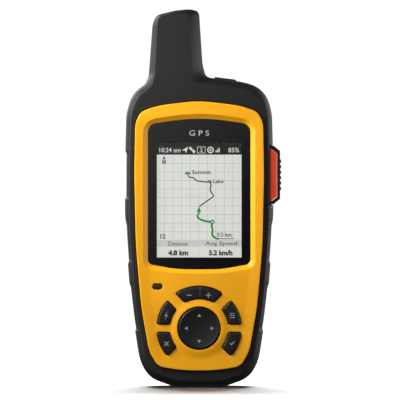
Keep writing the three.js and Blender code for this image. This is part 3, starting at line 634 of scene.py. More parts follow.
WORN_REACH = 0.35                # width of the rubbed line along an edge


def srgb(red, green, blue):
    """A scene-linear colour from 0..255 display values."""
    def linear(value):
        value /= 255
        return value / 12.92 if value <= 0.04045 else ((value + 0.055) / 1.055) ** 2.4
    return (linear(red), linear(green), linear(blue), 1.0)


def moulded(name, base, shade, roughness, grain_mm, bump, specular=0.5, edge=None):
    """Moulded plastic or rubber: slow colour drift, fine grain in bump and gloss, paler edges."""
    shader = Shader(name)
    color = shader.drift(srgb(*base), srgb(*shade), 14.0, 3.0)
    if edge:
        color = shader.worn(color, srgb(*edge), 2.5, 0.2, 0.8)
    grain = shader.noise(grain_mm, 4.0, 0.6)
    shader.surface(color, shader.remap(grain, roughness - 0.05, roughness + 0.07), specular)
    shader.bump(grain, bump, grain_mm * 0.12)
    return shader.material


def black_shell():
    """Textured black overmould: a fine leathery stipple with a slightly paler worn edge."""
    shader = Shader("black_shell")
    color = shader.drift(srgb(15, 15, 16), srgb(18, 18, 18), 18.0, 3.0)
    fine = shader.noise(0.25, 3.0, 0.6)
    shader.surface(
        shader.worn(color, srgb(34, 34, 35), 1.6, 0.1, 0.7), shader.remap(fine, 0.56, 0.68), 0.35,
    )
    shader.bump(shader.math("ADD", shader.cells(0.42), fine), 0.16, 0.06)
    return shader.material


def yellow_plastic():
    """Satin yellow moulding with a fine spark-eroded grain."""
    shader = Shader("yellow_plastic")
    grain = shader.noise(0.3, 4.0, 0.6)
    color = shader.drift(srgb(250, 172, 16), srgb(252, 177, 22), 22.0)
    shader.surface(color, shader.remap(grain, 0.40, 0.52), 0.25)
    shader.bump(grain, 0.12, 0.03)
    return shader.material


def glossy(name, base, shade, roughness):
    """A polished or filmed surface, smeared a little along its height."""
    shader = Shader(name)
    smear = shader.noise(5.0, 4.0, 0.6, (1.0, 1.0, 0.4))
    color = shader.drift(srgb(*base), srgb(*shade), 6.0)
    shader.surface(color, shader.remap(smear, roughness * 0.7, roughness * 1.5))
    shader.bump(smear, 0.02, 0.02)
    return shader.material


def clear_glass():
    shader = Shader("clear_glass")
    smear = shader.remap(shader.noise(5.0, 4.0, 0.6), 0.01, 0.05)
    shader.surface((1.0, 1.0, 1.0, 1.0), smear, others={"Transmission Weight": 1.0, "IOR": 1.33})
    return shader.material


def metal(name, base, shade, roughness=0.3, grain_mm=0.3):
    """Plated metal with fine turning or rolling marks."""
    shader = Shader(name)
    marks = shader.noise(grain_mm, 4.0, 0.7, (1.0, 1.0, 0.15))
    color = shader.blend(shader.remap(marks, 0.0, 1.0), srgb(*base), srgb(*shade))
    gloss = shader.remap(marks, roughness - 0.06, roughness + 0.1)
    shader.surface(color, gloss, others={"Metallic": 1.0})
    shader.bump(marks, 0.12, 0.02)
    return shader.material


def scaled(color, factor):
    return tuple(channel * factor for channel in color[:3]) + (1.0,)


def lit(name, color):
    """A lit display colour, broken up by the panel's fine pixel grid."""
    shader = Shader(name)
    facing = shader.add("ShaderNodeMapping", {"Vector": shader.place, "Rotation": (math.pi / 2, 0.0, 0.0)})
    pixel = PIXEL * MM
    grid = shader.add("ShaderNodeTexBrick", {
        "Vector": facing.outputs[0], "Scale": 1.0,
        "Mortar Size": pixel * 0.06, "Brick Width": pixel, "Row Height": pixel,
        "Color1": color, "Color2": scaled(color, 0.985), "Mortar": scaled(color, 0.8),
    }, offset=0.0)
    shader.surface(scaled(color, 0.2), 0.4, 0.3, {
        "Emission Color": grid.outputs[0], "Emission Strength": GLOW,
    })
    return shader.material


PIXEL, GLOW = 0.16, 0.8          # the display's pixel pitch and brightness

# Colours here are 0..255 display values: the base colour and what it drifts to.
MOULDED = {                      # then roughness, grain size, bump, gloss and rubbed edge
    "flap_rubber": ((30, 30, 31), (36, 36, 36), 0.6, 0.3, 0.2, 0.35, (60, 60, 60)),
    "spine_plastic": ((38, 38, 39), (46, 46, 47), 0.5, 0.35, 0.2, 0.4, (80, 80, 80)),
    "gasket_foam": ((24, 24, 25), (34, 34, 35), 0.9, 0.5, 0.5),
    "pale_plastic": ((216, 216, 210), (205, 205, 198), 0.5, 0.4, 0.15),
    "key_rubber": ((14, 14, 16), (18, 18, 20), 0.42, 0.25, 0.15, 0.4, (40, 40, 44)),
    "circuit_board": ((24, 84, 50), (32, 96, 58), 0.45, 0.8, 0.3),
    "ceramic": ((208, 190, 154), (196, 178, 142), 0.6, 0.5, 0.2),
    "sos_red": ((255, 66, 28), (255, 76, 34), 0.45, 0.3, 0.15, 0.4, (250, 120, 90)),
    "guard_rubber": ((24, 14, 14), (32, 20, 19), 0.6, 0.3, 0.25, 0.35),
    "label_film": ((58, 58, 60), (66, 66, 68), 0.4, 0.25, 0.1, 0.4, (110, 110, 112)),
}
GLOSSY = {                       # then roughness
    "window_glass": ((4, 4, 5), (6, 6, 7), 0.1),
    "lcd_screen": ((28, 28, 30), (34, 34, 36), 0.25),
    "flex_film": ((178, 110, 42), (160, 92, 32), 0.3),
    "led_lens": ((46, 30, 14), (58, 40, 20), 0.18),
    "battery_wrap": ((62, 72, 92), (54, 62, 80), 0.35),
}
METAL = {                        # then roughness and the size of the marks
    "steel": ((178, 180, 184), (160, 162, 166)),
    "screw_steel": ((74, 76, 80), (60, 62, 66), 0.35, 0.2),
    "helix_metal": ((200, 160, 76), (184, 144, 62)),
}
SLOT_MATERIALS = {"black_shell": black_shell(), "yellow_plastic": yellow_plastic()}
for make, finishes in ((moulded, MOULDED), (glossy, GLOSSY), (metal, METAL)):
    for slot, finish in finishes.items():
        SLOT_MATERIALS[slot] = make(slot, *finish)
PRINT = moulded("key_print", (150, 152, 154), (140, 142, 145), 0.5, 0.2, 0.1)
GLASS_PRINT = moulded("glass_print", (186, 186, 186), (178, 178, 178), 0.4, 0.2, 0.05)
CLEAR_GLASS = clear_glass()

NODE_SLOTS = {part["node"]: part["material_slot"] for part in frame["record"]["subparts"]}
NODE_BODIES = {
    node: body for body, nodes in frame["record"]["behaviour"]["bodies"].items() for node in nodes
}


def dress_cad():
    """Every CAD node gets the finish of its slot; those with a finer piece are hidden later."""
    for node, obj in frame["nodes"].items():
        paint(obj, SLOT_MATERIALS[NODE_SLOTS[node]])


def paint(obj, material):
    obj.data.materials.clear()
    obj.data.materials.append(material)


def trim(piece, node, material):
    """A printed or inlaid detail rides with the CAD node that it lies on."""
    paint(piece, material)
    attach(piece, NODE_BODIES[node])


def stand_in(piece, node):
    """A fine piece rides with its CAD node, replaces it and takes its finish."""
    trim(piece, node, SLOT_MATERIALS[NODE_SLOTS[node]])
    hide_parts(node)


def cad_depths(node):
    """Where a CAD node starts and ends along Y."""
    low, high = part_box(node)
    return low.y / MM, high.y / MM


# ---------------------------------------------------------------- housing

CORNER_STEPS = 8
SHOULDER_STEPS = 22
SIDE_SPACING, END_SPACING = 0.7, 1.4    # finer up the sides, for the scoops
SCOOPS = [(24.2, 45.2), (53.2, 73), (81.4, 102.6)]  # heights of the finger scoops in the sides
SCOOP_DEEP = 0.6
SCOOP_END = 1.5
SCOOP_FADE = math.radians(56), math.radians(74)     # round from the wall to the face
CHAMFER_FROM_Z, CHAMFER_FULL_Z = 129, 137
SEAM = 0.08                      # visible line round the insert
SHELF_Y = CAVITY_FRONT_Y + PAST  # where openings through the front wall start


def frontal(z):
    """Depth of the front face: flat on the body, then leaning back up the stub."""
    lean = (STUB_TIP_FRONT_Y - FRONT_Y) / (STUB_TIP_Z - STUB_BASE_Z)
    past = z - STUB_BASE_Z
    soft = 4.0
    past = (past + soft) ** 2 / (4 * soft) if abs(past) < soft else max(0.0, past)
    return FRONT_Y + lean * past


def dorsal(z):
    """Depth of the rear face: flat on the body, an S-shaped neck, then the leaning stub."""
    if z < STUB_NECK_Z:
        return lerp(BACK_Y, STUB_NECK_BACK_Y, smoothstep(z, STUB_BASE_Z - 2, STUB_NECK_Z))
    return map_linear(z, STUB_NECK_Z, STUB_TIP_Z, STUB_NECK_BACK_Y, STUB_TIP_BACK_Y)


def scoop(x, z, angle):
    """How far a side is pressed in, at a height and at an angle round from the wall to the face."""
    if x > 0 and z > INSERT_LOW_Z - 3:
        return 0.0
    along = max(
        smoothstep(z, low, low + SCOOP_END) * (1 - smoothstep(z, high - SCOOP_END, high))
        for low, high in SCOOPS
    )
    return SCOOP_DEEP * along * (1 - smoothstep(angle, *SCOOP_FADE))


def shell_outlines():
    """The widest, front and rear outlines as points that match one by one."""
    side, end = run_counts(WIDEST, SIDE_SPACING), run_counts(WIDEST, END_SPACING)
    beside = len(WIDEST_SIDE)
    runs = side[:beside] + end[beside:-beside] + side[-beside:]
    return [rounded(corners, CORNER_STEPS, runs) for corners in (WIDEST, FRONT, BACK)]


WIDE_LINE, FRONT_LINE, BACK_LINE = shell_outlines()


def wall_ring(y, inset=0.0):
    ring = []
    for point in moved_in(WIDE_LINE, inset) if inset else WIDE_LINE:
        deep = scoop(point.x, point.y, 0.0)
        ring.append(Vector((point.x - math.copysign(deep, point.x), y, point.y)))
    return ring


def shoulder(face_line, wall_y, depth_at):
    """Rings from the upright wall round to a face. They turn on quarter ellipses on the body, and
    run nearly straight, as a chamfer, on the stub."""
    rings = []
    for k in range(SHOULDER_STEPS + 1):
        angle = math.pi / 2 * k / SHOULDER_STEPS
        t = k / SHOULDER_STEPS
        ring = []
        for wide, face in zip(WIDE_LINE, face_line):
            chamfer = 0.8 * smoothstep(face.y, CHAMFER_FROM_Z, CHAMFER_FULL_Z)
            out = lerp(math.cos(angle), 1 - t, chamfer)
            forward = lerp(math.sin(angle), t, chamfer)
            flat = face.lerp(wide, out)
            depth = depth_at(face.y) - wall_y
            y = wall_y + depth * forward
            deep = scoop(wide.x, wide.y, angle)
            if deep:
                outward = wide - face
                a, b = outward.length, abs(depth)
                normal = Vector((math.cos(angle) / a, math.sin(angle) / b)).normalized()
                flat = flat - outward.normalized() * normal.x * deep
                y -= math.copysign(normal.y * deep, depth)
            ring.append(Vector((flat.x, y, flat.y)))
        rings.append(ring)
    return rings


FRONT_HALF = (FRONT_LINE, FRONT_WALL_Y, frontal)
BACK_HALF = (BACK_LINE, BACK_WALL_Y, dorsal)


def half_blank(name, half):
    """Half of the case, solid, with its edge at the parting line rounded over."""
    _, wall_y, depth_at = half
    step = math.copysign(PARTING_ROUND, wall_y - PARTING_Y)
    rings = [
        wall_ring(PARTING_Y, PARTING_ROUND), wall_ring(PARTING_Y + step * 0.3, PARTING_ROUND * 0.3),
        wall_ring(PARTING_Y + step), *shoulder(*half),
    ]
    return loft(name, rings, (None, depth_at))


def whole_blank(name):
    return loft(name, shoulder(*BACK_HALF)[::-1] + shoulder(*FRONT_HALF), (dorsal, frontal))


def screw_places():
    return [(side * x, z) for x, z in CASE_SCREWS for side in (-1, 1)]


def insert_box(clearance):
    return box(
        "insert", INSERT_X - clearance, REACH, -REACH, INSERT_BACK_Y + clearance,
        INSERT_LOW_Z - clearance, INSERT_HIGH_Z + clearance,
    )


def cavity_tool():
    """The hollow inside the case, less the screw bosses."""
    tool = prism("cavity", rounded(CAVITY, 4), CAVITY_BACK_Y, CAVITY_FRONT_Y)
    stub = prism("stub_cavity", rounded(STUB_CAVITY, 3), STUB_CAVITY_BACK_Y, STUB_CAVITY_FRONT_Y)
    boolean(tool, [stub], "UNION")
    ends = CAVITY_BACK_Y + PAST, CAVITY_FRONT_Y - PAST
    return boolean(tool, [rod("boss", "y", x, z, *ends, BOSS_R, 32) for x, z in screw_places()])


def top_at(x):
    (x0, z0), (x1, z1) = TOP_EDGE
    return map_linear(x, x0, x1, z0, z1)


def flap_tools():
    left, right = FLAP_LEFT_X - GAP, FLAP_RIGHT_X + GAP
    recess = [
        Vector((right, top_at(right) - FLAP_RECESS_DEEP)), Vector((right, top_at(right) + 4)),
        Vector((left, top_at(left) + 4)), Vector((left, top_at(left) - FLAP_RECESS_DEEP)),
    ]
    return [
        prism("flap_recess", recess, FLAP_HALF_DEPTH + GAP, -FLAP_HALF_DEPTH - GAP),
        box(
            "port_hole", PORT_X[0] - GAP, PORT_X[1] + GAP, PORT_Y[0] - GAP, PORT_Y[1] + GAP,
            PORT_FLOOR_Z, 3 * REACH,
        ),
    ]


def bezel_seat():
    """The bezel's pocket, with a small chamfer round its mouth."""
    runs = run_counts(BEZEL, 2.0)
    near = rounded(grown(BEZEL, GAP), CORNER_STEPS, runs)
    mouth = rounded(grown(BEZEL, GAP + 0.35), CORNER_STEPS, runs)
    return loft("seat", [
        ring_at(near, BEZEL_SEAT_Y), ring_at(near, FRONT_Y + 0.3), ring_at(mouth, FRONT_Y - 0.05),
        ring_at(mouth, -REACH),
    ])


def key_outline(key, inset=0.0, corner=1.0):
    """A ring segment between two spokes, each side moved off its spoke, with rounded corners."""
    start_degrees, start_offset, end_degrees, end_offset = key
    inner, outer = KEY_INNER_R + inset, KEY_OUTER_R - inset
    middle = (inner + outer) / 2

    def spread(radius):
        low = math.radians(start_degrees) + math.asin((start_offset + inset) / radius)
        high = math.radians(end_degrees) - math.asin((end_offset + inset) / radius)
        return low, high

    low, high = spread(middle)
    length = (high - low) * middle
    flat = rounded(rectangle(0, inner, length, outer, corner), 8, [8, 28, 8, 28])
    points = []
    for p in flat:
        low, high = spread(p.y)
        angle = lerp(low, high, p.x / length)
        points.append(Vector((p.y * math.cos(angle), KEY_CENTRE_Z + p.y * math.sin(angle))))
    return points


def led_outline(clearance):
    width, height = LED_HALF_WIDTH + clearance, LED_HALF_HEIGHT + clearance
    corners = rectangle(LED_X - width, LED_Z - height, LED_X + width, LED_Z + height, height - 0.02)
    return rounded(corners, 10)


def keypad_openings():
    """Outlines of the holes through the front wall for the keys, the pad and the lamp."""
    outlines = [key_outline(key) for key in KEYS.values()]
    return outlines + [circle(0, KEY_CENTRE_Z, PAD_HOLE_R, 96), led_outline(GAP)]


def front_shell():
    lens = rounded(grown(grown(WINDOW, LENS_OVERLAP), GAP), CORNER_STEPS)
    tools = [
        cavity_tool(), bezel_seat(), prism("lens_seat", lens, LENS_LEDGE_Y, -REACH),
        prism("screen_hole", rounded(SCREEN_HOLE, 4), SHELF_Y, -REACH), insert_box(SEAM),
    ]
    tools += [prism("opening", outline, SHELF_Y, -REACH) for outline in keypad_openings()]
    tools += flap_tools()
    for x, z in screw_places():
        tools.append(rod("screw_hole", "y", x, z, PARTING_Y + PAST, SCREW_TIP_Y, SCREW_HOLE_R, 24))
    stand_in(smooth(boolean(half_blank("front_shell", FRONT_HALF), tools)), "front_housing")


def rear_shell():
    label = rounded(grown(LABEL, GAP), 6)
    tools = [cavity_tool(), insert_box(SEAM), prism("label_seat", label, REACH, BACK_Y - LABEL_DEEP)]
    tools += flap_tools()
    for x, z in screw_places():
        tools.append(rod("screw_hole", "y", x, z, REACH, PARTING_Y - PAST, SCREW_HOLE_R, 24))
        bore, mouth = circle(x, z, COUNTERBORE_R, 40), circle(x, z, COUNTERBORE_MOUTH_R, 40)
        tools.append(loft("counterbore", [
            ring_at(bore, BACK_Y - 2), ring_at(bore, BACK_Y - 0.3), ring_at(mouth, BACK_Y + 0.05),
            ring_at(mouth, REACH),
        ]))
    tools += [rod("spine_hole", "y", 0, z, REACH, SPINE_TIP_Y, SPINE_HOLE_R, 24) for z in SPINE_SCREW_Z]
    stand_in(smooth(boolean(half_blank("rear_shell", BACK_HALF), tools)), "rear_housing")


def distress_insert():
    low, high = GUARD_MID_Z - POCKET_HALF, GUARD_MID_Z + POCKET_HALF
    hinge = GUARD_HINGE_X, GUARD_HINGE_Y
    key_hole = INSERT_X - PAST, GUARD_FLOOR_X + PAST, SOS_KEY_R + GAP
    tools = [
        bezel_seat(),
        box("pocket", GUARD_FLOOR_X, REACH, -REACH, POCKET_BACK_Y, low, high),
        rod("trough", "z", *hinge, low, high, KNUCKLE_R + GAP),
        rod("button_hole", "x", SOS_Y, GUARD_MID_Z, *key_hole, 64),
        rod("bore", "z", *hinge, GUARD_MID_Z - PIN_HALF, GUARD_MID_Z + PIN_HALF, PIN_R, 24),
    ]
    insert = boolean(whole_blank("distress_insert"), [insert_box(0.0)], "INTERSECT")
    stand_in(smooth(boolean(insert, tools)), "sos_housing")


# ---------------------------------------------------------------- bezel and window


def distance_along(points):
    """A function giving the distance of a place from a dense closed line."""
    tree = tree_of(points)

    def distance(x, z):
        _, k, _ = tree.find((x, z, 0))
        here = Vector((x, z))
        best = REACH
        for a, b in ((points[k - 1], points[k]), (points[k], points[(k + 1) % len(points)])):
            along = b - a
            t = clamp((here - a).dot(along) / max(1e-9, along.length_squared))
            best = min(best, (here - a - along * t).length)
        return best

    return distance


def soft_min(a, b, radius):
    """The lower of two values, with the corner between them filleted."""
    gap = clamp((b - a) / radius, -1, 1)
    return min(a, b) - radius * (1 - abs(gap)) ** 2 / 4


def bezel_base(x, z, distance):
    """Front of the bezel: side bands that slope inwards to a soft crease, and a gently domed middle."""
    side = 1 - smoothstep(z, *BAND_TOP) - (1 - smoothstep(z, *BAND_FOOT))
    rim = lerp(BEZEL_MID_Y, BEZEL_RIM_Y, clamp(side))
    crease = lerp(BEZEL_MID_Y, BEZEL_CREASE_Y, clamp(side))
    if distance < BEZEL_STRIP:
        return map_linear(distance, 0, BEZEL_STRIP, rim, crease)
    return lerp(crease, BEZEL_MID_Y - 0.1, smoothstep(distance, BEZEL_STRIP, BEZEL_STRIP + DOME_RISE))


def yellow_bezel():
    runs = run_counts(BEZEL, 0.8)
    rim = rounded(BEZEL, 10, runs)
    distance = distance_along(rim)

    def height(x, z):
        base = bezel_base(x, z, distance(x, z))
        r = math.hypot(x, z - KEY_CENTRE_Z)
        cone = max(RING_FRONT_Y, map_linear(r, RING_TOP_R, RING_FOOT_R, RING_FRONT_Y, BEZEL_MID_Y))
        return soft_min(cone, base, 0.2)

    window_runs = run_counts(WINDOW, 1.2)
    lip = rounded(WINDOW_LIP, 10, window_runs)
    sill = rounded(WINDOW, 10, window_runs)
    holes = [Edge(lip, 0.3, [(sill, BEZEL_SILL_Y)])]
    holes += [Edge(key_outline(key), 0.22) for key in KEYS.values()]
    holes += [Edge(circle(0, KEY_CENTRE_Z, PAD_HOLE_R, 120), 0.25), Edge(led_outline(GAP), 0.3)]
    bezel = plate("bezel", Edge(rim, 0.35), holes, BEZEL_BACK_Y, height, spacing=0.62)
    stand_in(bezel, "front_bezel")


def display_window():
    """Black-bordered glass: an opaque border round a clear pane."""
    outline = rounded(grown(WINDOW, LENS_OVERLAP), 10, run_counts(WINDOW, 2.0))
    corners = [(-VIEW_X, VIEW_LOW), (VIEW_X, VIEW_LOW), (VIEW_X, VIEW_HIGH), (-VIEW_X, VIEW_HIGH)]
    opening = [Vector(corner) for corner in corners]
    border = plate("window_border", Edge(outline, 0.15), [Edge(opening)], LENS_BACK_Y, LENS_FRONT_Y, 2.5)
    stand_in(border, "display_window")
    pane = plate("window_pane", Edge(moved_in(opening, 0.01)), [], LENS_BACK_Y, LENS_FRONT_Y + 0.02)
    trim(pane, "display_window", CLEAR_GLASS)
    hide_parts("display_window")


# ---------------------------------------------------------------- display picture

VIEW_X, VIEW_LOW, VIEW_HIGH = 18.35, 56.2, 105.9
STATUS_LOW = 100.7
HEADER_HIGH, HEADER_LOW = 63.9, 60.9
GRID_PITCH, GRID_FIRST_X, GRID_FIRST_Z = 3.69, -14.95, 96.92
SCREEN_Y = -10.4
LAYER = 0.03
LAYER_THICK = LAYER * 0.8        # leaves a little air under the next layer


class Print:
    """Flat shapes gathered into one thin printed or displayed piece that faces -Y."""

    def __init__(self, level):
        self.bm = bmesh.new()
        self.front = level
        self.back = level + LAYER_THICK

    def band(self, loops):
        """Quads between each closed loop of vertices and the next."""
        for here, there in zip(loops, loops[1:]):
            for i in range(len(here)):
                j = (i + 1) % len(here)
                self.bm.faces.new((here[i], here[j], there[j], there[i]))

    def loop(self, points, y):
        return [self.bm.verts.new((x * MM, y * MM, z * MM)) for x, z in points]

    def polygon(self, points):
        points = wound(points, True)
        loops = [self.loop(points, self.front), self.loop(points, self.back)]
        for loop in loops:
            self.bm.faces.new(loop)
        self.band(loops)

    def bar(self, x0, z0, x1, z1):
        self.polygon([(x0, z0), (x1, z0), (x1, z1), (x0, z1)])

    def stroke(self, points, width):
        points = [Vector(p) for p in points]
        left, right = [], []
        for before, here, after in zip(points[:1] + points, points, points[1:] + points[-1:]):
            along = (after - before).normalized()
            normal = Vector((-along.y, along.x)) * width / 2
            left.append(here + normal)
            right.append(here - normal)
        self.polygon(right + left[::-1])

    def frame(self, outer, inner):
        """A closed flat band between two outlines with the same number of points."""
        rings = [(outer, self.front), (inner, self.front), (inner, self.back), (outer, self.back)]
        loops = [self.loop(points, y) for points, y in rings]
        self.band(loops + loops[:1])

    def ring(self, x, z, outer, inner, sides=32):
        self.frame(circle(x, z, outer, sides), circle(x, z, inner, sides))

    def words(self, text, x0, x1, z0, z1, bold=0.0, spacing=1.0):
        """Text fitted between two x values and two heights."""
        curve = bpy.data.curves.new("words", "FONT")
        curve.body = text
        curve.extrude = 0.5
        curve.offset = bold
        curve.space_character = spacing
        curve.resolution_u = 3
        obj = new_object("words", curve)
        graph = bpy.context.evaluated_depsgraph_get()
        mesh = bpy.data.meshes.new_from_object(obj.evaluated_get(graph), depsgraph=graph)
        xs = [v.co.x for v in mesh.vertices]
        ys = [v.co.y for v in mesh.vertices]
        for v in mesh.vertices:
            x = map_linear(v.co.x, min(xs), max(xs), x0, x1)
            z = map_linear(v.co.y, min(ys), max(ys), z0, z1)
            y = self.front if v.co.z > 0 else self.back
            v.co = Vector((x, y, z)) * MM
        self.bm.from_mesh(mesh)
        bpy.data.meshes.remove(mesh)
        bpy.data.curves.remove(curve)

    def piece(self, name, node, material):
        bmesh.ops.remove_doubles(self.bm, verts=self.bm.verts, dist=MERGE / 10)
        bmesh.ops.recalc_face_normals(self.bm, faces=self.bm.faces)
        mesh = bpy.data.meshes.new(name)
        self.bm.to_mesh(mesh)
        self.bm.free()
        trim(new_object(name, mesh), node, material)

    def show(self, name, *color):
        """Puts the shapes on the display in one lit colour."""
        self.piece("screen_" + name, "lcd_panel", lit("lit_" + name, srgb(*color)))


def spline(points, steps=6):
    """A smooth line through a few points."""
    points = [Vector(p) for p in points]
    result = []
    for i in range(len(points) - 1):
        p0, p1 = points[max(0, i - 1)], points[i]
        p2, p3 = points[i + 1], points[min(len(points) - 1, i + 2)]
        for k in range(steps):
            t = k / steps
            result.append(0.5 * (
                2 * p1 + (p2 - p0) * t + (2 * p0 - 5 * p1 + 4 * p2 - p3) * t * t
                + (3 * p1 - p0 - 3 * p2 + p3) * t * t * t
            ))
    return result + [points[-1]]


def counted(first, pitch, end):
    """Places at a pitch, from the first one while they are short of the end."""
    place = first
    while (end - place) * pitch > 0:
        yield place
        place += pitch


def display_sheets(level):
    """The display's background: status bar, paper, header strip and the map's grid."""
    bar = Print(level + 0.01)
    bar.bar(-VIEW_X + 0.02, STATUS_LOW + 0.02, VIEW_X - 0.02, VIEW_HIGH - 0.02)
    bar.show("status_bar", 2, 2, 3)

    sheet = Print(level)
    sheet.bar(-VIEW_X + 0.05, VIEW_LOW + 0.05, VIEW_X - 0.05, STATUS_LOW)
    sheet.show("map", 226, 228, 222)

    strip = Print(level - LAYER)
    strip.bar(-VIEW_X + 0.05, HEADER_LOW, VIEW_X - 0.05, HEADER_HIGH)
    strip.show("header", 206, 208, 203)

    grid = Print(level - LAYER)
    for x in counted(GRID_FIRST_X, GRID_PITCH, VIEW_X - 1):
        grid.bar(x - 0.09, HEADER_HIGH, x + 0.09, STATUS_LOW)
    for z in counted(GRID_FIRST_Z, -GRID_PITCH, HEADER_HIGH):
        grid.bar(-VIEW_X + 0.1, z - 0.09, VIEW_X - 0.1, z + 0.09)
    grid.bar(-0.06, VIEW_LOW + 0.3, 0.06, HEADER_LOW)
    grid.show("grid", 186, 189, 184)


def map_features(top):
    """What is drawn on the map: a track, a path with a marker, hills and a lake."""
    track = Print(top)
    track.stroke(spline([
        (-4.95, 92.0), (-4.25, 91.0), (-2.3, 90.6), (-1.2, 89.5), (2.7, 88.9), (4.2, 88.9), (5.1, 87.95),
        (4.8, 85.4), (6.05, 83.2), (5.9, 82.4), (4.3, 81.3), (-0.05, 78.2),
    ]), 0.52)
    track.show("track", 80, 24, 28)

    path = Print(top)
    path.stroke(spline([(-0.7, 74.9), (-0.4, 73.3), (2.2, 72.1), (4.9, 71.6)]), 0.85)
    path.stroke(spline([(5.7, 71.0), (5.4, 70.0), (5.8, 68.0), (5.65, 66.1), (6.9, 64.7), (8.5, 64.3)]), 0.85)
    path.polygon([
        (-0.1, 78.2), (1.0, 75.9), (0.3, 76.1), (0.2, 74.8), (-0.6, 74.8), (-0.5, 76.1), (-1.2, 75.9),
    ])
    path.show("path", 44, 138, 44)

    place = Print(top - LAYER)
    place.ring(5.75, 71.65, 0.95, 0.45, 24)
    place.show("place", 40, 112, 116)

    hills = Print(top)
    hills.polygon([(-6.3, 92.2), (-5.5, 93.6), (-5.0, 92.8), (-4.5, 93.5), (-3.6, 92.2)])
    hills.show("hills", 74, 104, 74)

    lake = Print(top)
    lake.polygon([(3.3, 88.4), (3.7, 89.5), (4.5, 89.9), (5.2, 89.4), (5.6, 88.4), (4.4, 88.8)])
    lake.show("lake", 150, 120, 66)


def display_words(top):
    """The north arrow, names, scale bar and the two data fields with their captions."""
    ink = Print(top)
    ink.polygon([(-15.9, 98.8), (-15.2, 100.0), (-14.5, 98.8)])
    ink.words("N", -15.9, -14.5, 96.6, 98.5, 0.06)
    ink.words("Summit", -3.1, 5.1, 92.3, 94.0, 0.016)
    ink.words("Lake", 6.1, 10.5, 88.4, 90.0, 0.016)
    ink.words("12", -16.8, -14.6, 64.4, 66.4, 0.03)
    ink.words("0.5 km", 7.7, 14.0, 65.2, 67.0, 0.016)
    ink.polygon([(8.3, 64.2), (14.75, 64.2), (14.75, 65.0), (14.5, 65.0), (14.5, 64.5), (8.3, 64.5)])
    ink.words("4.8 km", -13.4, -4.8, 57.1, 59.4, 0.05)
    ink.words("5.2 km/h", 4.2, 14.4, 57.1, 59.4, 0.05)
    ink.show("ink", 24, 26, 26)

    faint = Print(top)
    faint.words("Distance", -13.5, -5.0, 61.3, 63.2, 0.012)
    faint.words("Avg Speed", 2.6, 16.4, 61.0, 63.2, 0.012)
    faint.show("captions", 92, 94, 92)


def status_line(level):
    """The time, an arrow, a satellite, a boxed count, a target, signal bars and the charge."""
    status = Print(level)
    status.words("10:24 am", -17.2, -8.1, 101.7, 103.7, 0.008)
    status.polygon([(-7.5, 102.6), (-4.8, 104.2), (-5.6, 101.4), (-6.2, 102.4)])
    status.stroke([(-4.2, 103.9), (-3.1, 102.8)], 1.0)
    status.stroke([(-2.9, 102.7), (-1.9, 101.6)], 1.1)
    status.frame(
        [(-0.9, 101.3), (2.7, 101.3), (2.7, 104.2), (-0.9, 104.2)],
        [(-0.68, 101.52), (2.48, 101.52), (2.48, 103.98), (-0.68, 103.98)],
    )
    status.words("2", 0.35, 1.45, 101.9, 103.6, 0.01)
    status.ring(4.9, 102.75, 1.45, 0.95)
    status.ring(4.9, 102.75, 0.5, 0.15, 20)
    for step in range(3):
        status.bar(7.1 + step * 0.65, 101.7, 7.55 + step * 0.65, 102.5 + step * 0.6)
    status.words("85%", 12.6, 17.3, 101.7, 103.7, 0.008)
    status.show("status", 222, 223, 220)


def display_picture():
    """A trail map on the LCD: status bar, gridded map with a track, and two data fields."""
    stand_in(bevelled_copy("lcd_panel", "screen_panel", 0.15), "lcd_panel")
    level = SCREEN_Y - LAYER
    top = level - 2 * LAYER
    display_sheets(level)
    map_features(top)
    display_words(top)
    status_line(level)


# ---------------------------------------------------------------- keypad

KEY_MIDDLE_R = (KEY_INNER_R + KEY_OUTER_R) / 2
ZOOM_GROOVE, ZOOM_GROOVE_WIDTH = 0.35, 0.28  # dip that parts the rocker in two
MARK_Y = KEY_FRONT_Y - 0.01
PAD_DISH = [(0, -14.3), (2.5, -14.34), (4.5, -14.48), (6.2, -14.68), (7.5, -14.88), (8.0, -14.98)]
PAD_RIM = [(8.12, -15.06), (8.3, -15.1), (8.5, -15.06), (8.7, -14.93), (8.83, -14.72), (8.88, -14.4)]
PAD_MARK_R = 6.2                 # where the dish's depth sets how far forward the arrows lie
PAD_BACK = [(8.9, -11.0), (8.7, -10.7), (8.4, -10.6), (0, -10.6)]


def key_bodies():
    for name, key in KEYS.items():
        def height(x, z):
            y = KEY_FRONT_Y + 0.10 * ((math.hypot(x, z - KEY_CENTRE_Z) - KEY_MIDDLE_R) / 3) ** 2
            if name == "zoom_rocker":
                y += ZOOM_GROOVE * math.exp(-((x / ZOOM_GROOVE_WIDTH) ** 2))
            return y
        outline = key_outline(key, KEY_CLEARANCE, 0.8)
        stand_in(plate(name + "_cap", Edge(outline, 0.5), [], KEY_BACK_Y, height, 0.35), name)


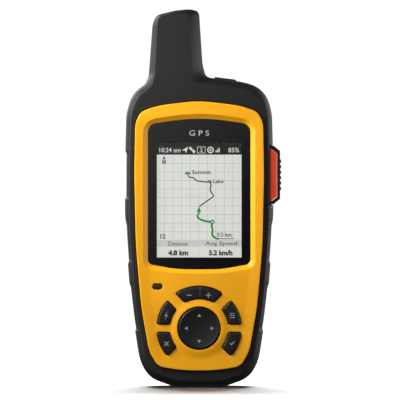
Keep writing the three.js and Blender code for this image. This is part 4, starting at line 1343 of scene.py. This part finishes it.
def key_prints():
    """The light marks on the keys, each a thin inlay riding with its key."""
    flash = Print(MARK_Y)
    flash.polygon([
        (-13.75, 33.1), (-15.0, 31.0), (-14.25, 31.0), (-14.85, 29.3), (-13.5, 31.5), (-14.25, 31.5),
    ])
    flash.piece("power_mark", "key_power", PRINT)

    bars = Print(MARK_Y)
    for z in (30.3, 31.2, 32.1):
        bars.bar(13.2, z - 0.17, 15.4, z + 0.17)
    bars.piece("menu_mark", "key_menu", PRINT)

    cross = Print(MARK_Y)
    cross.stroke([(-15.0, 18.2), (-13.2, 20.0)], 0.5)
    cross.stroke([(-13.2, 18.2), (-13.85, 18.85)], 0.5)
    cross.stroke([(-14.35, 19.35), (-15.0, 20.0)], 0.5)
    cross.piece("back_mark", "key_back", PRINT)

    tick = Print(MARK_Y)
    tick.polygon([(13.05, 19.1), (13.4, 19.45), (13.85, 19.0), (15.1, 20.25), (15.4, 19.9), (13.85, 18.3)])
    tick.piece("enter_mark", "key_enter", PRINT)

    signs = Print(MARK_Y)
    signs.bar(-5.4, 39.8, -3.3, 40.2)
    signs.bar(2.95, 39.8, 5.05, 40.2)
    signs.bar(3.8, 40.2, 4.2, 41.05)
    signs.bar(3.8, 38.95, 4.2, 39.8)
    signs.piece("zoom_marks", "zoom_rocker", PRINT)


def dish_depth(radius):
    for (r0, y0), (r1, y1) in zip(PAD_DISH, PAD_DISH[1:]):
        if radius <= r1:
            return map_linear(radius, r0, r1, y0, y1)
    return PAD_DISH[-1][1]


def direction_pad():
    profile = spline(PAD_DISH) + [Vector(p) for p in PAD_RIM + PAD_BACK]
    stand_in(turned("pad_disc", profile, 0, KEY_CENTRE_Z, 128), "nav_pad")
    corners = [(6.35, 0.0), (4.95, 0.85), (4.95, -0.85)]
    for i, name in enumerate(("right", "up", "left", "down")):
        c, s = math.cos(i * math.pi / 2), math.sin(i * math.pi / 2)
        mark = Print(dish_depth(PAD_MARK_R) - 0.02)
        mark.polygon([(out * c - aside * s, KEY_CENTRE_Z + out * s + aside * c) for out, aside in corners])
        mark.piece("pad_mark_" + name, "nav_pad", PRINT)


def status_lamp():
    lamp = plate("lamp_lens", Edge(led_outline(-0.02), 0.4), [], KEY_BACK_Y, -13.7, 0.4)
    stand_in(lamp, "status_led")


# ---------------------------------------------------------------- guard, flap, back


def distress_guard():
    stand_in(bevelled_copy("sos_guard_core", "guard_core", 0.35), "sos_guard_core")
    stand_in(bevelled_copy("sos_guard_tread", "guard_tread", 0.18), "sos_guard_tread")
    low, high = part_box("sos_key")
    back, front = low.x / MM, high.x / MM
    dish = [(0, front - 0.35), (2.4, front - 0.3), (3.7, front - 0.08), (3.95, front), (4.25, front - 0.06)]
    side = [(4.46, front - 0.28), (4.5, front - 0.5), (4.5, back + 0.2), (4.3, back), (0, back)]
    stand_in(turned("distress_button", dish + side, SOS_Y, GUARD_MID_Z, 96, "x"), "sos_key")


def port_flap():
    stand_in(bevelled_copy("usb_flap", "port_flap_cover", 0.18), "usb_flap")


def spine():
    foot_y, back_y = cad_depths("mounting_spine")
    step_y = back_y - SPINE_HEAD_THICK
    mouths = [Edge(circle(0, z, 2.8, 48), 0.25) for z in SPINE_SCREW_Z]
    bores = [Edge(circle(0, z, SPINE_HOLE_R, 32)) for z in SPINE_SCREW_Z]
    rim = Edge(rounded(SPINE_HEAD, 10), 0.9)
    head = plate("spine_head", rim, mouths, step_y, back_y, 2.0, side=1, back_round=0.4)
    foot = plate("spine_foot", Edge(rounded(SPINE_FOOT, 10)), bores, foot_y, step_y, side=1)
    stand_in(smooth(joined("spine", [head, foot])), "mounting_spine")


def screw(node, x, z, head_r, socket_r, socket_deep, head_thick, shank_r):
    """A socket screw whose head faces the back."""
    tip_y, top_y = cad_depths(node)
    under_y = top_y - head_thick
    head = plate(node + "_body", Edge(circle(x, z, head_r, 48), 0.25), [], under_y, top_y, side=1)
    boolean(head, [prism("socket", circle(x, z, socket_r, 6), top_y + PAST, top_y - socket_deep)])
    boolean(head, [prism("shank", circle(x, z, shank_r, 32), under_y + 0.2, tip_y)], "UNION")
    stand_in(smooth(head), node)


def screws():
    for i, (x, z) in enumerate(screw_places()):
        screw(f"case_screw_{i + 1}", x, z, 1.85, 0.85, 0.6, 1.4, 0.95)
    for i, z in enumerate(SPINE_SCREW_Z):
        screw(f"spine_screw_{i + 1}", 0, z, 2.5, 1.15, 0.8, 1.5, 1.2)


def rear_label():
    plaque = plate("blank_label", Edge(rounded(LABEL, 8), 0.08), [], *cad_depths("rear_label"), side=1)
    stand_in(plaque, "rear_label")


def glass_print():
    """A generic word printed on the glass above the display."""
    words = Print(LENS_FRONT_Y - 0.01)
    words.words("GPS", -4.3, 4.3, 108.9, 111.2, 0.0, 1.5)
    words.piece("glass_word", "display_window", GLASS_PRINT)


# ---------------------------------------------------------------- stage, light and camera

AMBIENT, BACKDROP = 0.10, 1.05
UNIT_MIDDLE = (0.0, 0.0, 0.085)
CAMERA_AWAY, CAMERA_X, CAMERA_Z, VIEW_WIDTH = 2.0, 0.00035, 0.0811, 0.1739


def stage_floor():
    """A pale floor that fades out into the white backdrop and sends no light up to the unit."""
    floor = plate("floor", Edge(circle(0, 0, 900, 96)), [], 1.0, 0.0)
    for v in floor.data.vertices:
        v.co = Vector((v.co.x, v.co.z, -v.co.y))
    shader = Shader("floor_white")
    color = shader.drift((0.94, 0.94, 0.94, 1.0), (0.96, 0.96, 0.96, 1.0), 60.0)
    radial = shader.add("ShaderNodeVectorMath", {0: shader.place}, operation="LENGTH").outputs["Value"]
    shader.surface(color, 0.9, 0.0, {"Alpha": shader.remap(radial, 1.0, 0.0, 0.12, 0.5)})
    paint(floor, shader.material)
    floor.visible_diffuse = False
    floor.visible_glossy = False
    return floor


def soft_box(name, place, aim, width, height, radiance):
    """A rectangular light facing a point, given by how bright its face looks."""
    light = bpy.data.lights.new(name, "AREA")
    light.shape = "RECTANGLE"
    light.size = width
    light.size_y = height
    light.energy = radiance * math.pi * width * height
    obj = new_object(name, light)
    obj.location = place
    obj.rotation_euler = (Vector(aim) - Vector(place)).to_track_quat("-Z", "Y").to_euler()
    obj.visible_camera = False
    return obj


def backdrop():
    """White behind the object for the camera, and only a dim glow for lighting."""
    world = bpy.data.worlds.new("studio")
    world.use_nodes = True
    world.node_tree.nodes.clear()
    nodes = Nodes(world.node_tree)
    glow, seen = (
        nodes.add("ShaderNodeBackground", {"Color": (1.0, 1.0, 1.0, 1.0), "Strength": strength}).outputs[0]
        for strength in (AMBIENT, BACKDROP)
    )
    camera_ray = nodes.add("ShaderNodeLightPath").outputs["Is Camera Ray"]
    either = nodes.add("ShaderNodeMixShader", {0: camera_ray, 1: glow, 2: seen}).outputs[0]
    nodes.add("ShaderNodeOutputWorld", {0: either})
    bpy.context.scene.world = world
    bpy.context.scene.view_settings.view_transform = "Standard"


def graded(light, low, high):
    """Fades a soft box from its lower right side up to its upper left corner."""
    light.data.use_nodes = True
    nodes = Nodes(light.data.node_tree)
    emission = next(node for node in nodes.tree.nodes if node.type == "EMISSION")
    place = nodes.add("ShaderNodeNewGeometry").outputs["Parametric"]
    parts = nodes.add("ShaderNodeSeparateXYZ", {0: place}).outputs
    across = nodes.math("SUBTRACT", parts["Y"], parts["X"])
    nodes.feed(emission, "Strength", nodes.remap(across, 0.0, 1.0, low, high))
    return light


def linked_to(floor, name, state):
    """A light-linking collection that takes in, or leaves out, the floor."""
    collection = bpy.data.collections.new(name)
    collection.objects.link(floor)
    collection.collection_objects[0].light_linking.link_state = state
    return collection


def studio(floor):
    """Soft boxes for the unit, and one of its own for the floor."""
    backdrop()
    aim = UNIT_MIDDLE
    on_unit = [
        soft_box("key_near", (-0.14, -0.12, 0.20), aim, 0.08, 0.08, 13.5),
        soft_box("key_side", (-0.26, -0.07, 0.26), aim, 0.12, 0.12, 20.5),
        soft_box("key_low", (-0.30, -0.16, 0.15), aim, 0.15, 0.15, 8.0),
        soft_box("left_strip", (-0.55, -0.02, 0.14), aim, 0.10, 0.40, 3.0),
        soft_box("right_strip", (0.60, -0.10, 0.10), aim, 0.10, 0.40, 6.0),
        soft_box("right_low", (0.22, -0.035, 0.075), aim, 0.08, 0.16, 4.5),
        soft_box("right_side", (0.70, 0.20, 0.30), aim, 0.50, 0.50, 2.5),
        graded(soft_box("front_glow", (-0.12, -0.40, 0.19), (-0.12, 0, 0.19), 0.36, 0.36, 1.1), -0.72, -0.24),
        soft_box("back_left", (-0.5, 0.8, 0.5), aim, 0.5, 0.5, 8.0),
        soft_box("back_right", (0.6, 0.7, 0.3), aim, 0.4, 0.5, 3.0),
    ]
    over = soft_box("over_floor", (0.0, 0.50, 0.86), (0, 0, 0), 0.9, 0.5, 17.0)
    over.light_linking.receiver_collection = linked_to(floor, "lit_floor", "INCLUDE")
    lit_unit = linked_to(floor, "lit_unit", "EXCLUDE")
    for light in on_unit:
        light.light_linking.receiver_collection = lit_unit


def camera():
    data = bpy.data.cameras.new("camera")
    data.sensor_width = 36.0
    data.lens = data.sensor_width * CAMERA_AWAY / VIEW_WIDTH
    data.clip_start, data.clip_end = 0.01, 20.0
    obj = new_object("camera", data)
    obj.location = (CAMERA_X, -CAMERA_AWAY, CAMERA_Z)
    obj.rotation_euler = (math.pi / 2, 0.0, 0.0)
    bpy.context.scene.camera = obj


# ---------------------------------------------------------------- the whole unit

dress_cad()
camera()
studio(stage_floor())
front_shell()
rear_shell()
distress_insert()
yellow_bezel()
display_window()
display_picture()
key_bodies()
key_prints()
direction_pad()
status_lamp()
distress_guard()
port_flap()
spine()
screws()
rear_label()
glass_print()
